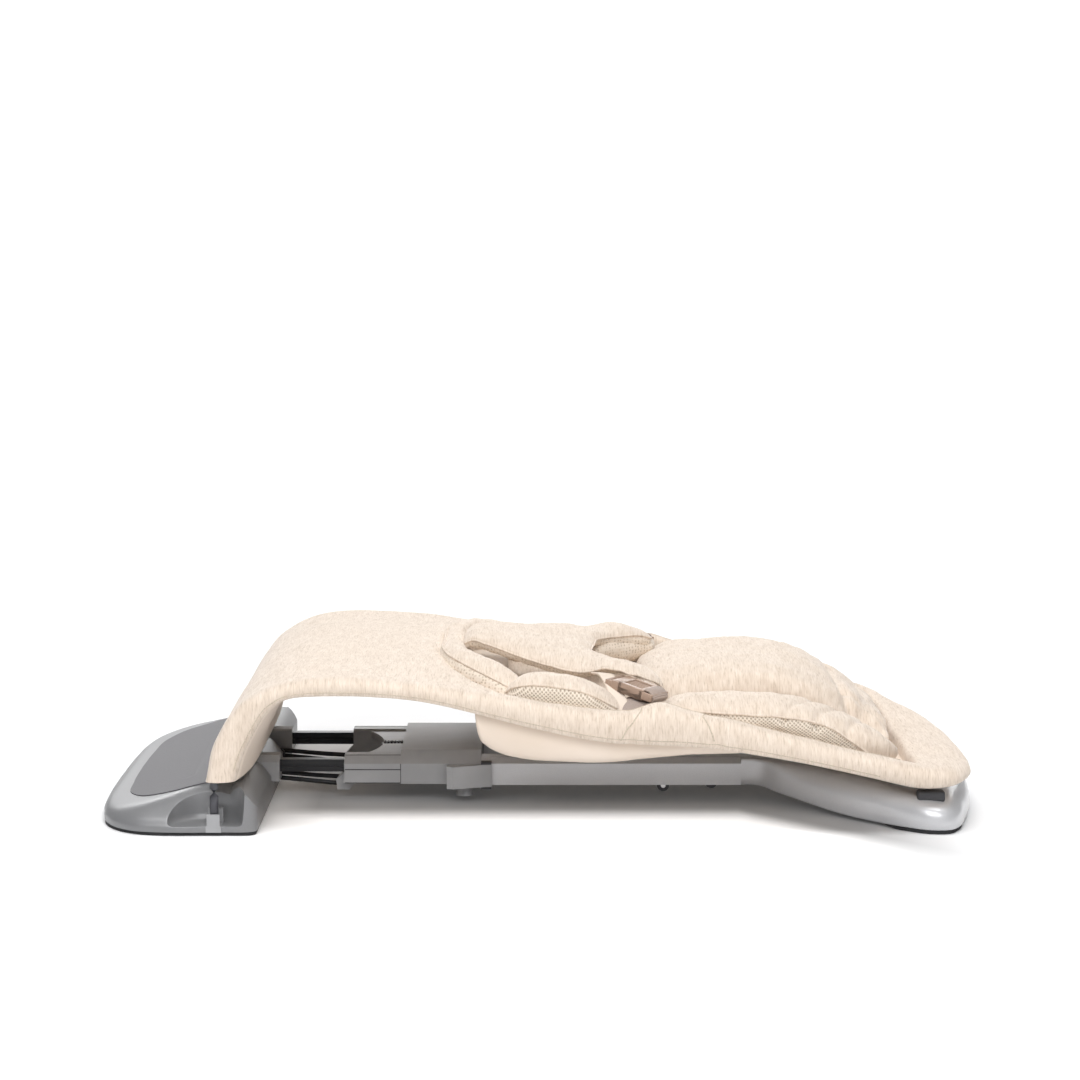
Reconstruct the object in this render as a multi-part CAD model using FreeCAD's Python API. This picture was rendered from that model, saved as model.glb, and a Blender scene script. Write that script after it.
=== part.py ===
import FreeCAD, Part
import math
import os

# A folding baby bouncer seat, folded flat for storage.
# Frame: +X runs from the foot plate to the head end, +Y to the far side, +Z up.
# The origin is on the floor, under the middle of the whole object.  Millimetres.
# "near" is the -Y side, "far" is the +Y side, its mirror image.

V = FreeCAD.Vector

# ---- driving dimensions ----
HALF_LENGTH = 420.0
PLATE_HALF_WIDTH = 212.0
PLATE_REAR_X = -261.0
SOLE_THICKNESS = 3.5
BASE_PLATE_THICKNESS = 1.5
SHELL_WALL = 3.0
INLAY_THICKNESS = 0.8

PIVOT_X = -301.0
PIVOT_Z = 14.0
CRANK_PIN_X = -264.0
CRANK_PIN_Z = 23.0
LUG_PIN_X = -192.0
LUG_PIN_Z = 14.8
PIN_RADIUS = 2.2
RUNNING_CLEARANCE = 0.05
LINK_RADIUS = 2.75
LINK_Y = 50.0
LINK_HALF_THICKNESS = 2.5
LINK_SLOT_TRAVEL = 3.2
LINK_SLOT_PLAY = 1.6

SHAFT_RADIUS = 7.0
SHAFT_HALF_LENGTH = 178.0
BEARING_Y = 120.0

ROD_Y = 65.0
ROD_Z = 35.5
ROD_WIDTH = 10.0
ROD_HEIGHT = 12.0
ROD_START_X = -285.0
ROD_END_X = -110.0
ROD_PLAY = 0.5
SOCKET_END_X = -253.0

SHELL_START_X = -190.0
COVER_START_X = -135.0
COVER_END_X = -57.0
RAIL_END_X = 195.0
RAIL_OUTER_Y = 78.0
RAIL_INNER_Y = 54.5
RAIL_BOTTOM_Z = 18.0
CHANNEL_END_X = -70.0

LEVER_PIVOT_X = -52.0
LEVER_PIVOT_Y = 81.5
LEVER_BOTTOM_Z = 17.6
LEVER_TOP_Z = 39.4

HOOP_RADIUS = 4.0
HOOP_Y = 203.5
RIM_INNER_Y = 190.0
RIM_OUTER_Y = 212.0
HEAD_X = 403.0
HEAD_START_X = 344.0
SLING_HALF_WIDTH = 189.0
SLING_THICKNESS = 3.0
PANEL_THICKNESS = 8.0

BUCKLE_CENTRE = V(88.0, -146.0, 127.0)
BUCKLE_TURN = -38.0
BUCKLE_DIP = 11.0
BUCKLE_WIDTH = 28.0
BUCKLE_THICKNESS = 11.0

# Side view of the fabric rim, (x, z), from the hem on the foot plate to the head.
RIM_TOP = [(-309, 50), (-299, 88), (-269, 126), (-215, 145), (-120, 142),
           (-20, 127), (60, 114), (140, 113), (240, 90), (HEAD_START_X, 65)]
RIM_BOTTOM = [(-281, 50), (-270, 82), (-243, 121), (-200, 129), (-110, 124),
              (-14, 101), (60, 86), (147, 81), (240, 67), (HEAD_START_X, 43.5)]
# Side view of the sling that hangs below the rim.
SLING_BOTTOM = [(-56, 84), (-40, 70), (25, 60.5), (98, 64.5), (186, 70),
                (240, 64), (HEAD_START_X, 42.5)]


# ---- small builders ----
def box(x0, x1, y0, y1, z0, z1):
    return Part.makeBox(x1 - x0, y1 - y0, z1 - z0, V(x0, y0, z0))


def cylinder_y(x, z, radius, y0, y1):
    return Part.makeCylinder(radius, y1 - y0, V(x, y0, z), V(0, 1, 0))


def cylinder_z(x, y, radius, z0, z1):
    return Part.makeCylinder(radius, z1 - z0, V(x, y, z0), V(0, 0, 1))


def mirrored(shape):
    """The same piece on the far side."""
    return shape.mirror(V(0, 0, 0), V(0, 1, 0))


def side_prism(points, y0, y1):
    """A polygon drawn in side view (x, z), as deep as y0 to y1."""
    corners = [V(x, y0, z) for x, z in points]
    face = Part.Face(Part.makePolygon(corners + corners[:1]))
    return face.extrude(V(0, y1 - y0, 0))


def cross_prism(points, x0, x1):
    """A polygon drawn in end view (y, z), as long as x0 to x1."""
    corners = [V(x0, y, z) for y, z in points]
    face = Part.Face(Part.makePolygon(corners + corners[:1]))
    return face.extrude(V(x1 - x0, 0, 0))


def plan_prism(edges, z0, z1):
    """A closed outline drawn in plan at z = 0, as high as z0 to z1."""
    face = Part.Face(Part.Wire(edges))
    face.translate(V(0, 0, z0))
    return face.extrude(V(0, 0, z1 - z0))


def plan_line(start, end):
    return Part.LineSegment(V(*start, 0), V(*end, 0)).toShape()


def plan_arc(start, middle, end):
    return Part.Arc(V(*start, 0), V(*middle, 0), V(*end, 0)).toShape()


def smooth_edge(points, y):
    """A smooth curve through side-view points."""
    curve = Part.BSplineCurve()
    curve.interpolate([V(x, y, z) for x, z in points])
    return curve.toShape()


def side_slab(top, bottom, y0, y1):
    """A solid between two smooth side-view curves."""
    last_top = V(top[-1][0], y0, top[-1][1])
    last_bottom = V(bottom[-1][0], y0, bottom[-1][1])
    first_top = V(top[0][0], y0, top[0][1])
    first_bottom = V(bottom[0][0], y0, bottom[0][1])
    edges = [smooth_edge(top, y0), smooth_edge(bottom, y0),
             Part.LineSegment(last_top, last_bottom).toShape(),
             Part.LineSegment(first_top, first_bottom).toShape()]
    wire = Part.Wire(Part.__sortEdges__(edges))
    return Part.Face(wire).extrude(V(0, y1 - y0, 0))


def bent_tube(points, radius, bend_share=0.45):
    """A round tube along straight runs joined by tangent arcs."""
    knots = [V(*point) for point in points]
    edges = []
    start = knots[0]
    for index in range(1, len(knots) - 1):
        before, corner, after = knots[index - 1], knots[index], knots[index + 1]
        incoming = (corner - before).normalize()
        outgoing = (after - corner).normalize()
        reach = bend_share * min((corner - before).Length, (after - corner).Length)
        enter = corner - incoming * reach
        leave = corner + outgoing * reach
        half_turn = incoming.getAngle(outgoing) / 2
        bend_radius = reach / math.tan(half_turn)
        to_centre = (outgoing - incoming).normalize()
        apex_gap = bend_radius / math.cos(half_turn) - bend_radius
        middle = corner + to_centre * apex_gap
        edges.append(Part.LineSegment(start, enter).toShape())
        edges.append(Part.Arc(enter, middle, leave).toShape())
        start = leave
    edges.append(Part.LineSegment(start, knots[-1]).toShape())
    path = Part.Wire(edges)
    direction = (knots[1] - knots[0]).normalize()
    section = Part.Wire(Part.makeCircle(radius, knots[0], direction))
    return path.makePipeShell([section], True, True)


def save(name, shape):
    shape.exportStep("parts/" + name + ".step")
    print(name, len(shape.Solids), round(shape.Volume / 1000, 2), "cm3", shape.isValid())


def save_pair(name, near_shape):
    save(name + "_near", near_shape)
    save(name + "_far", mirrored(near_shape))


# ---- foot plate ----
def foot_outline(inset):
    """The plate in plan: a gently curved front, wide front corners, a straight back."""
    half = PLATE_HALF_WIDTH - inset
    front = -HALF_LENGTH + inset
    rear = PLATE_REAR_X - inset
    near_corner = plan_arc((-350, -half), (-394 + inset, -192 + inset), (front + 8, -150))
    front_arc = plan_arc((front + 8, -150), (front, 0), (front + 8, 150))
    far_corner = plan_arc((front + 8, 150), (-394 + inset, 192 - inset), (-350, half))
    far_side = plan_line((-350, half), (rear - 8, half))
    far_rear = plan_arc((rear - 8, half), (rear - 2.3, half - 2.3), (rear, half - 8))
    back = plan_line((rear, half - 8), (rear, 8 - half))
    near_rear = plan_arc((rear, 8 - half), (rear - 2.3, 2.3 - half), (rear - 8, -half))
    near_side = plan_line((rear - 8, -half), (-350, -half))
    return [near_corner, front_arc, far_corner, far_side, far_rear, back, near_rear, near_side]


def foot_block(inset, bottom):
    """The plate's outer form, made smaller all round by inset."""
    side = [(-430, bottom), (-430, 7 - inset), (-416, 12.5 - inset), (-384, 21.5 - inset),
            (-345, 31 - inset), (-318, 39 - inset), (-305, 43.5 - inset), (-290, 45.5 - inset),
            (-277, 43 - inset), (-268 - inset, 36 - inset), (-262 - inset, 26), (-266 - inset, bottom)]
    cross = [(-215, bottom), (-215, 9 - inset), (-207, 13 - inset), (-165, 40 - inset),
             (-140, 46 - inset), (140, 46 - inset), (165, 40 - inset), (207, 13 - inset),
             (215, 9 - inset), (215, bottom)]
    block = plan_prism(foot_outline(inset), bottom, 60)
    return block.common(side_prism(side, -230, 230)).common(cross_prism(cross, -440, -240))


def pocket_tool(extra):
    """The dish at each side that the hoop's leg stands in."""
    near = cylinder_z(-309, -216, 35 + extra, 9 - extra, 70)
    return near.fuse(mirrored(near))


def foot_shell():
    plate_top = SOLE_THICKNESS
    outer = foot_block(0.0, plate_top).cut(pocket_tool(0.0))
    hollow = foot_block(SHELL_WALL, plate_top).cut(pocket_tool(SHELL_WALL))
    shell = outer.cut(hollow)
    link_slot = box(-298, -250, -55, -39, 12, 70)
    socket_seat = box(ROD_START_X, -240, -76, -55, 21, 70)
    root_hole = cylinder_y(PIVOT_X, PIVOT_Z, HOOP_RADIUS + 1, -205, -176)
    for tool in (link_slot, socket_seat, root_hole, fork_block()):
        shell = shell.cut(tool).cut(mirrored(tool))
    return shell


def foot_inlay():
    near_edge = plan_line((-306, -165), (-345, -163))
    near_bend = plan_arc((-345, -163), (-369, -157), (-382, -136))
    front = plan_arc((-382, -136), (-397, 0), (-382, 136))
    far_bend = plan_arc((-382, 136), (-369, 157), (-345, 163))
    far_edge = plan_line((-345, 163), (-306, 165))
    back = plan_line((-306, 165), (-306, -165))
    outline = plan_prism([near_edge, near_bend, front, far_bend, far_edge, back], 0, 60)
    solid = foot_block(0.0, SOLE_THICKNESS)
    raised = solid.copy()
    raised.translate(V(0, 0, INLAY_THICKNESS))
    return outline.common(raised).cut(solid)


def screw_places():
    return [(x, y) for x in (-385, -280) for y in (-100, 0, 100)]


def foot_sole():
    sole = plan_prism(foot_outline(1.5), 0, SOLE_THICKNESS)
    for x, y in screw_places():
        sole = sole.cut(cylinder_z(x, y, 5.0, -1, SOLE_THICKNESS + 1))
    return sole


def foot_base_plate():
    top = SOLE_THICKNESS + BASE_PLATE_THICKNESS
    plate = plan_prism(foot_outline(SHELL_WALL + 5.5), SOLE_THICKNESS, top)
    return plate.cut(pocket_tool(SHELL_WALL + 3.5))


def foot_screws():
    heads = [cylinder_z(x, y, 3.5, 1.5, SOLE_THICKNESS) for x, y in screw_places()]
    return Part.makeCompound(heads)


def fork_block():
    """Where the forked boot stands in the pocket floor and the rim."""
    return box(-308, -294, -213, -188, SOLE_THICKNESS, 9.3)


def pivot_boot():
    """A fork that carries the hoop's root, with a bore in its inner cheek."""
    inner_cheek = box(-308, -294, -193.5, -188, 9.3, 22)
    outer_cheek = box(-307, -295, -213, -209.6, 9.3, 20)
    boot = fork_block().fuse(inner_cheek).fuse(outer_cheek)
    bore = cylinder_y(PIVOT_X, PIVOT_Z, HOOP_RADIUS + RUNNING_CLEARANCE, -194, -187)
    return boot.cut(bore).removeSplitter()


# ---- guide rods and the drive between them ----
def rod_section(play):
    """The rod in end view; play makes the channel that it slides in."""
    half_width = ROD_WIDTH / 2 + play
    half_height = ROD_HEIGHT / 2 + play
    return [(-ROD_Y - half_width, ROD_Z - half_height), (-ROD_Y + half_width, ROD_Z - half_height),
            (-ROD_Y + half_width, ROD_Z + half_height), (-ROD_Y - half_width, ROD_Z + half_height)]


def rod_socket():
    outline = [(-76, 21), (-76, 40), (-71, 46), (-57, 46), (-55, 44), (-55, 21)]
    block = cross_prism(outline, ROD_START_X, SOCKET_END_X)
    return block.cut(cross_prism(rod_section(0), ROD_START_X, SOCKET_END_X + 1))


def guide_rod():
    rod = cross_prism(rod_section(0), ROD_START_X, ROD_END_X)
    groove_depth = 1.0
    for side in (-1, 1):
        face_y = -ROD_Y + side * ROD_WIDTH / 2
        groove = box(SOCKET_END_X, ROD_END_X, face_y - groove_depth, face_y + groove_depth, 34.7, 36.3)
        rod = rod.cut(groove)
    return rod


def crank_shaft():
    return cylinder_y(PIVOT_X, PIVOT_Z, SHAFT_RADIUS, -SHAFT_HALF_LENGTH, SHAFT_HALF_LENGTH)


def shaft_bearing():
    y0 = -BEARING_Y - 8
    y1 = -BEARING_Y + 8
    block = box(PIVOT_X - 12, PIVOT_X + 12, y0, y1, SOLE_THICKNESS + BASE_PLATE_THICKNESS, 26)
    return block.cut(cylinder_y(PIVOT_X, PIVOT_Z, SHAFT_RADIUS + RUNNING_CLEARANCE, y0 - 1, y1 + 1))


def bar_between(x0, z0, r0, x1, z1, r1, y0, y1):
    """A flat bar with round ends, like a link plate."""
    length = math.hypot(x1 - x0, z1 - z0)
    across_x = -(z1 - z0) / length
    across_z = (x1 - x0) / length
    waist = min(r0, r1)
    corners = [(x0 + across_x * waist, z0 + across_z * waist), (x1 + across_x * waist, z1 + across_z * waist),
               (x1 - across_x * waist, z1 - across_z * waist), (x0 - across_x * waist, z0 - across_z * waist)]
    bar = side_prism(corners, y0, y1)
    bar = bar.fuse(cylinder_y(x0, z0, r0, y0, y1)).fuse(cylinder_y(x1, z1, r1, y0, y1))
    return bar.removeSplitter()


def crank_arm():
    arm = bar_between(PIVOT_X, PIVOT_Z, 8.4, CRANK_PIN_X, CRANK_PIN_Z, 5.0, -46.8, -41.5)
    arm = arm.cut(cylinder_y(PIVOT_X, PIVOT_Z, SHAFT_RADIUS, -50, -40))
    return arm.fuse(cylinder_y(CRANK_PIN_X, CRANK_PIN_Z, PIN_RADIUS, -53, -46.8))


def link_rod():
    """A round rod with a slotted eye on the crank pin and a tall eye on the lug pin."""
    y0 = -LINK_Y - LINK_HALF_THICKNESS
    y1 = -LINK_Y + LINK_HALF_THICKNESS
    run_x = LUG_PIN_X - CRANK_PIN_X
    run_z = LUG_PIN_Z - CRANK_PIN_Z
    length = math.hypot(run_x, run_z)
    slot_x = CRANK_PIN_X + run_x / length * LINK_SLOT_TRAVEL
    slot_z = CRANK_PIN_Z + run_z / length * LINK_SLOT_TRAVEL
    start = V(slot_x, -LINK_Y, slot_z)
    rod = Part.makeCylinder(LINK_RADIUS, length - LINK_SLOT_TRAVEL, start, V(run_x, 0, run_z))
    slotted_eye = bar_between(CRANK_PIN_X, CRANK_PIN_Z, 5.6, slot_x, slot_z, 5.6, y0, y1)
    tall_eye = box(LUG_PIN_X - 5.5, LUG_PIN_X + 5.5, y0, y1, LUG_PIN_Z - 5, LUG_PIN_Z + 12)
    link = rod.fuse(slotted_eye).fuse(tall_eye)
    slot = bar_between(CRANK_PIN_X, CRANK_PIN_Z, PIN_RADIUS + LINK_SLOT_PLAY,
                       slot_x, slot_z, PIN_RADIUS + LINK_SLOT_PLAY, y0 - 1, y1 + 1)
    bore = cylinder_y(LUG_PIN_X, LUG_PIN_Z, PIN_RADIUS + RUNNING_CLEARANCE, y0 - 1, y1 + 1)
    return link.cut(slot).cut(bore)


# ---- rear frame ----
def rod_channel():
    return cross_prism(rod_section(ROD_PLAY), SHELL_START_X - 1, CHANNEL_END_X)


def rail_shell():
    outline = [(-78, 20), (-78, 39), (-70, 46), (-56.5, 46), (-RAIL_INNER_Y, 44), (-RAIL_INNER_Y, 20)]
    shell = cross_prism(outline, SHELL_START_X, COVER_START_X)
    lug = side_prism([(-198, 10), (-186, 10), (-178, 20), (-178, 30), (-190, 30), (-199, 20)], -62, -54.5)
    groove = box(SHELL_START_X - 1, COVER_START_X, -78.5, -77.2, 32.6, 33.6)
    return shell.fuse(lug).cut(rod_channel()).cut(groove).removeSplitter()


def lug_pins():
    near = cylinder_y(LUG_PIN_X, LUG_PIN_Z, PIN_RADIUS, -RAIL_INNER_Y, -45.5)
    return Part.makeCompound([near, mirrored(near)])


def bridge_plate():
    """The plate between the two shells, with a curved front edge and a slot for the rack."""
    half = RAIL_INNER_Y
    front = plan_arc((-172, -half), (-156, 0), (-172, half))
    far_side = plan_line((-172, half), (COVER_START_X, half))
    back = plan_line((COVER_START_X, half), (COVER_START_X, -half))
    near_side = plan_line((COVER_START_X, -half), (-172, -half))
    plate = plan_prism([front, far_side, back, near_side], 37, 44)
    return plate.cut(box(-161, -COVER_START_X, -6, 6, 40, 45))


def detent_rack():
    """A short black rack in the slot, one ridge per recline step."""
    rack = box(-158, COVER_START_X, -4, 4, 40, 43)
    for index in range(6):
        x = -156 + 3.4 * index
        ridge = side_prism([(x, 43), (x + 2.6, 43), (x + 1.3, 45.6)], -4, 4)
        rack = rack.fuse(ridge)
    return rack


def centre_cover():
    outline = [(-78, 19), (-78, 39), (-66, 50.5), (66, 50.5), (78, 39), (78, 19),
               (RAIL_INNER_Y, 19), (RAIL_INNER_Y, 44.5), (-RAIL_INNER_Y, 44.5), (-RAIL_INNER_Y, 19)]
    cover = cross_prism(outline, COVER_START_X, COVER_END_X)
    return cover.cut(rod_channel()).cut(mirrored(rod_channel()))


def rail():
    outline = [(-78, RAIL_BOTTOM_Z), (-78, 39), (-71, 44), (-RAIL_INNER_Y, 44), (-RAIL_INNER_Y, RAIL_BOTTOM_Z)]
    hollow = [(-75, RAIL_BOTTOM_Z - 1), (-75, 37), (-70, 41), (-57.5, 41), (-57.5, RAIL_BOTTOM_Z - 1)]
    return cross_prism(outline, COVER_END_X, RAIL_END_X).cut(cross_prism(hollow, COVER_END_X, RAIL_END_X))


def loop_outline():
    """Outer and inner edges of the U-shaped rear base, in plan."""
    arm = [plan_line((RAIL_END_X, 78), (207, 78)), plan_line((207, 78), (300, 160)),
           plan_arc((300, 160), (338, 196), (366, 211)), plan_arc((366, 211), (385, 205), (396, 172))]
    end = plan_arc((396, 172), (HALF_LENGTH, 0), (396, -172))
    near_arm = [edge.mirror(V(0, 0, 0), V(0, 1, 0)) for edge in arm]
    outer_close = plan_line((RAIL_END_X, 78), (RAIL_END_X, -78))
    outer = Part.__sortEdges__(arm + near_arm + [end, outer_close])
    inner_arm = [plan_line((RAIL_END_X - 1, 54.5), (207, 54.5)), plan_line((207, 54.5), (300, 112)),
                 plan_arc((300, 112), (330, 126), (350, 104))]
    inner_end = plan_arc((350, 104), (364, 0), (350, -104))
    inner_near = [edge.mirror(V(0, 0, 0), V(0, 1, 0)) for edge in inner_arm]
    inner_close = plan_line((RAIL_END_X - 1, 54.5), (RAIL_END_X - 1, -54.5))
    inner = Part.__sortEdges__(inner_arm + inner_near + [inner_end, inner_close])
    return outer, inner


def loop_ring(z0, z1):
    outer, inner = loop_outline()
    return plan_prism(outer, z0, z1).cut(plan_prism(inner, z0 - 1, z1 + 1))


def hollow_ring(wall):
    """The space inside the loop's moulded shell, open underneath."""
    outer, inner = loop_outline()
    shrunk = Part.Wire(outer).makeOffset2D(-wall)
    grown = Part.Wire(inner).makeOffset2D(wall)
    space = plan_prism(shrunk.Edges, 0, 60).cut(plan_prism(grown.Edges, -1, 61))
    side = [(200, -1), (430, -1), (430, 23), (412, 26.5), (380, 29), (325, 35), (254, 39.5), (205, 40.5), (200, 40.5)]
    return space.common(side_prism(side, -230, 230))


def loop_body():
    side = [(190, RAIL_BOTTOM_Z), (205, RAIL_BOTTOM_Z), (254, 9.5), (300, SOLE_THICKNESS), (430, SOLE_THICKNESS),
            (430, 26), (412, 29.5), (380, 32), (325, 38), (254, 42.5), (205, 43.5), (190, 44)]
    return loop_ring(0, 60).common(side_prism(side, -230, 230))


def rear_loop():
    return loop_body().cut(hollow_ring(SHELL_WALL))


def loop_sole():
    return loop_ring(0, SOLE_THICKNESS).common(box(318, 417, -208, 208, 0, SOLE_THICKNESS))


def seat_bumper():
    return box(350, 384, -200, -184, 24, 40.3).cut(loop_body())


def support_pegs():
    near = cylinder_z(-73.6, -71, 8.2, 7.2, 19)
    return Part.makeCompound([near, mirrored(near)])


def lever_pivot():
    """Two ears and the pin that the release lever turns on."""
    lower_ear = box(LEVER_PIVOT_X - 5, LEVER_PIVOT_X + 5, -86, -78, 15.4, 17.2)
    upper_ear = box(LEVER_PIVOT_X - 5, LEVER_PIVOT_X + 5, -86, -74, 39.8, 41.4)
    pin = cylinder_z(LEVER_PIVOT_X, -LEVER_PIVOT_Y, 2.0, 17.2, 39.8)
    base = box(LEVER_PIVOT_X - 5, LEVER_PIVOT_X + 5, -78, -76, 15.4, RAIL_BOTTOM_Z)
    ears = lower_ear.fuse(upper_ear).fuse(pin).fuse(base)
    body = centre_cover().fuse(rail())
    return ears.cut(body)


def release_lever():
    """A thumb paddle that flares away from the rail towards the foot plate."""
    corners = [(-46.8, -79), (-46.8, -84), (-84, -96), (-90, -94), (-90, -85.5), (-62, -81), (-56, -79)]
    outline = [plan_line(corners[i], corners[(i + 1) % len(corners)]) for i in range(len(corners))]
    paddle = plan_prism(outline, LEVER_BOTTOM_Z, LEVER_TOP_Z)
    bore = cylinder_z(LEVER_PIVOT_X, -LEVER_PIVOT_Y, 2.0 + RUNNING_CLEARANCE, 10, 50)
    return paddle.cut(bore)


def bushing_places():
    return [(119.7, 16.8), (166.4, 19.8)]


def rail_bushings():
    """Black rings just under each rail, round a rivet."""
    rings = []
    for x, z in bushing_places():
        near = cylinder_y(x, z, 5.8, -74.5, -66).cut(cylinder_y(x, z, 2.4, -75, -65))
        rings += [near, mirrored(near)]
    return Part.makeCompound(rings)


def rail_rivets():
    rivets = []
    for x, z in bushing_places():
        near = cylinder_y(x, z, 2.4, -75, -57.5)
        rivets += [near, mirrored(near)]
    return Part.makeCompound(rivets)


# ---- seat ----
def hoop_side_route():
    """The wire's route on the near side, from its root to the start of the head."""
    y = -HOOP_Y
    return [(-301, y, 44), (-288, y, 90), (-252, y, 126), (-205, y, 137), (-110, y, 133),
            (60, y, 100), (150, y, 97), (240, y, 78), (HEAD_START_X, y, 54)]


def seat_hoop():
    near = [(PIVOT_X, -186, PIVOT_Z), (PIVOT_X, -HOOP_Y - 1, PIVOT_Z)] + hoop_side_route()
    near += [(378, -182, 51), (391, -100, 51)]
    far = [(x, -y, z) for x, y, z in reversed(near)]
    return bent_tube(near + far, HOOP_RADIUS)


def rim_cover():
    return side_slab(RIM_TOP, RIM_BOTTOM, -RIM_OUTER_Y, -RIM_INNER_Y)


def leg_panel():
    """The knit panel from the hem on the foot plate to the front of the seat."""
    top = RIM_TOP[:5] + [(-62, 134.5)]
    bottom = [(-300, 50), (-290, 84), (-263, 118), (-213, 136.8), (-120, 134), (-62, 126.5)]
    return side_slab(top, bottom, -RIM_INNER_Y, RIM_INNER_Y)


def head_cover():
    """The rounded head end of the cover, round the hoop."""
    start = HEAD_START_X
    near_side = plan_line((start, -RIM_OUTER_Y), (352, -RIM_OUTER_Y))
    near_corner = plan_arc((352, -RIM_OUTER_Y), (384, -196), (396, -150))
    end = plan_arc((396, -150), (HEAD_X + 3, 0), (396, 150))
    far_corner = plan_arc((396, 150), (384, 196), (352, RIM_OUTER_Y))
    far_side = plan_line((352, RIM_OUTER_Y), (start, RIM_OUTER_Y))
    back = plan_line((start, RIM_OUTER_Y), (start, -RIM_OUTER_Y))
    plan = plan_prism([near_side, near_corner, end, far_corner, far_side, back], 0, 100)
    side = [(start, 43.5), (368, 41.5), (410, 44), (410, 58), (start, 65)]
    return plan.common(side_prism(side, -230, 230))


def sling():
    """A hanging tray of plain cloth: a floor and two side walls."""
    top = [(x, z) for x, z in RIM_BOTTOM if x > 0]
    wall_top = [(-56, 112)] + [(x, z + 8) for x, z in top]
    outer = side_slab(wall_top, SLING_BOTTOM, -SLING_HALF_WIDTH, SLING_HALF_WIDTH)
    floor = [(x + 1, z + SLING_THICKNESS) for x, z in SLING_BOTTOM[:-1]]
    floor += [(HEAD_START_X, SLING_BOTTOM[-1][1] + SLING_THICKNESS)]
    roof = [(x + 1 - (x == HEAD_START_X), z + 40) for x, z in wall_top]
    inner = side_slab(roof, floor, -SLING_HALF_WIDTH + SLING_THICKNESS, SLING_HALF_WIDTH - SLING_THICKNESS)
    return outer.cut(inner)


def seat_pad():
    top = [(-48, 100), (20, 94), (94, 98)]
    bottom = [(-48, 83), (20, 66), (94, 70)]
    return side_slab(top, bottom, -98, 98)


def back_pad():
    """The domed back of the padded insert."""
    top = [(97, 102), (130, 122), (200, 138), (260, 124), (305, 95), (338, 66)]
    bottom = [(97, 70), (186, 76), (240, 70), (338, 49)]
    return side_slab(top, bottom, -106, 106)


def leg_bolster():
    top = [(-54, 147), (-20, 137), (20, 127), (62, 119)]
    bottom = [(-54, 92), (-20, 72), (20, 67), (62, 68)]
    return side_slab(top, bottom, -184, -101)


def head_bolster():
    top = [(142, 111), (200, 112), (260, 98), (310, 80), (338, 66)]
    bottom = [(142, 75), (186, 76), (240, 70), (338, 49)]
    return side_slab(top, bottom, -184, -109)


def crotch_pad():
    """A T-shaped pad: a stem between the legs and a wing towards each hip."""
    top = [(-84, 150), (-66, 156), (0, 149), (62, 141), (106, 135)]
    bottom = [(-84, 142), (-66, 144), (0, 137), (62, 129), (106, 124)]
    slab = side_slab(top, bottom, -118, 118)
    stem = box(-90, 62, -46, 46, 100, 170)
    wings = box(50, 110, -118, 118, 100, 170)
    return slab.common(stem.fuse(wings))


def placed_on_buckle(shape):
    """Turns a shape drawn along +X about the origin into the near buckle's place."""
    dipped = shape.copy()
    dipped.rotate(V(0, 0, 0), V(0, 1, 0), BUCKLE_DIP)
    dipped.rotate(V(0, 0, 0), V(0, 0, 1), BUCKLE_TURN)
    dipped.translate(BUCKLE_CENTRE)
    return dipped


def buckle_socket():
    half = BUCKLE_WIDTH / 2
    thick = BUCKLE_THICKNESS / 2
    body = box(-8, 30, -half, half, -thick, thick)
    mouth = box(-9, 14, -half + 2.5, half - 2.5, -thick + 2, thick - 2)
    windows = box(-2, 10, -half - 1, half + 1, -thick + 2, thick - 2)
    web_slot = box(20, 25, -half + 2.5, half - 2.5, -thick - 1, thick + 1)
    return placed_on_buckle(body.cut(mouth).cut(windows).cut(web_slot))


def buckle_tongue():
    half = BUCKLE_WIDTH / 2
    bar = box(-26, -8.5, -half + 0.5, half - 0.5, -4, 4)
    web_slot = box(-23, -18, -half + 3, half - 3, -5, 5)
    near_prong = box(-8.6, 9, -half + 3.2, -half + 7, -2.6, 2.6)
    far_prong = box(-8.6, 9, half - 7, half - 3.2, -2.6, 2.6)
    guide = box(-8.6, 11, -2.5, 2.5, -2.6, 2.6)
    tongue = bar.cut(web_slot).fuse(near_prong).fuse(far_prong).fuse(guide)
    return placed_on_buckle(tongue.removeSplitter())


def strap_tab():
    """The short cloth tab between the pad's wing and the tongue."""
    return placed_on_buckle(box(-44, -26, -9, 9, -1.5, 1.5))


def hip_strap():
    """Webbing from under the buckle out to the rim."""
    route = [(-184, 108), (-150, 111), (-150, 113), (-184, 110)]
    return cross_prism(route, 66, 92)


# ---- write every sub-part ----
os.makedirs("parts", exist_ok=True)

save("foot_sole", foot_sole())
save("foot_base_plate", foot_base_plate())
save("foot_shell", foot_shell())
save("foot_inlay", foot_inlay())
save("foot_screws", foot_screws())
save_pair("pivot_boot", pivot_boot())
save_pair("rod_socket", rod_socket())
save_pair("guide_rod", guide_rod())
save_pair("shaft_bearing", shaft_bearing())

save("crank_shaft", crank_shaft())
save_pair("crank_arm", crank_arm())
save_pair("link_rod", link_rod())

save_pair("rail_shell", rail_shell())
save("lug_pins", lug_pins())
save("bridge_plate", bridge_plate())
save("detent_rack", detent_rack())
save("centre_cover", centre_cover())
save_pair("rail", rail())
save("rear_loop", rear_loop())
save("loop_sole", loop_sole())
save_pair("seat_bumper", seat_bumper())
save("support_pegs", support_pegs())
save_pair("lever_pivot", lever_pivot())
save_pair("release_lever", release_lever())
save("rail_bushings", rail_bushings())
save("rail_rivets", rail_rivets())

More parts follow.
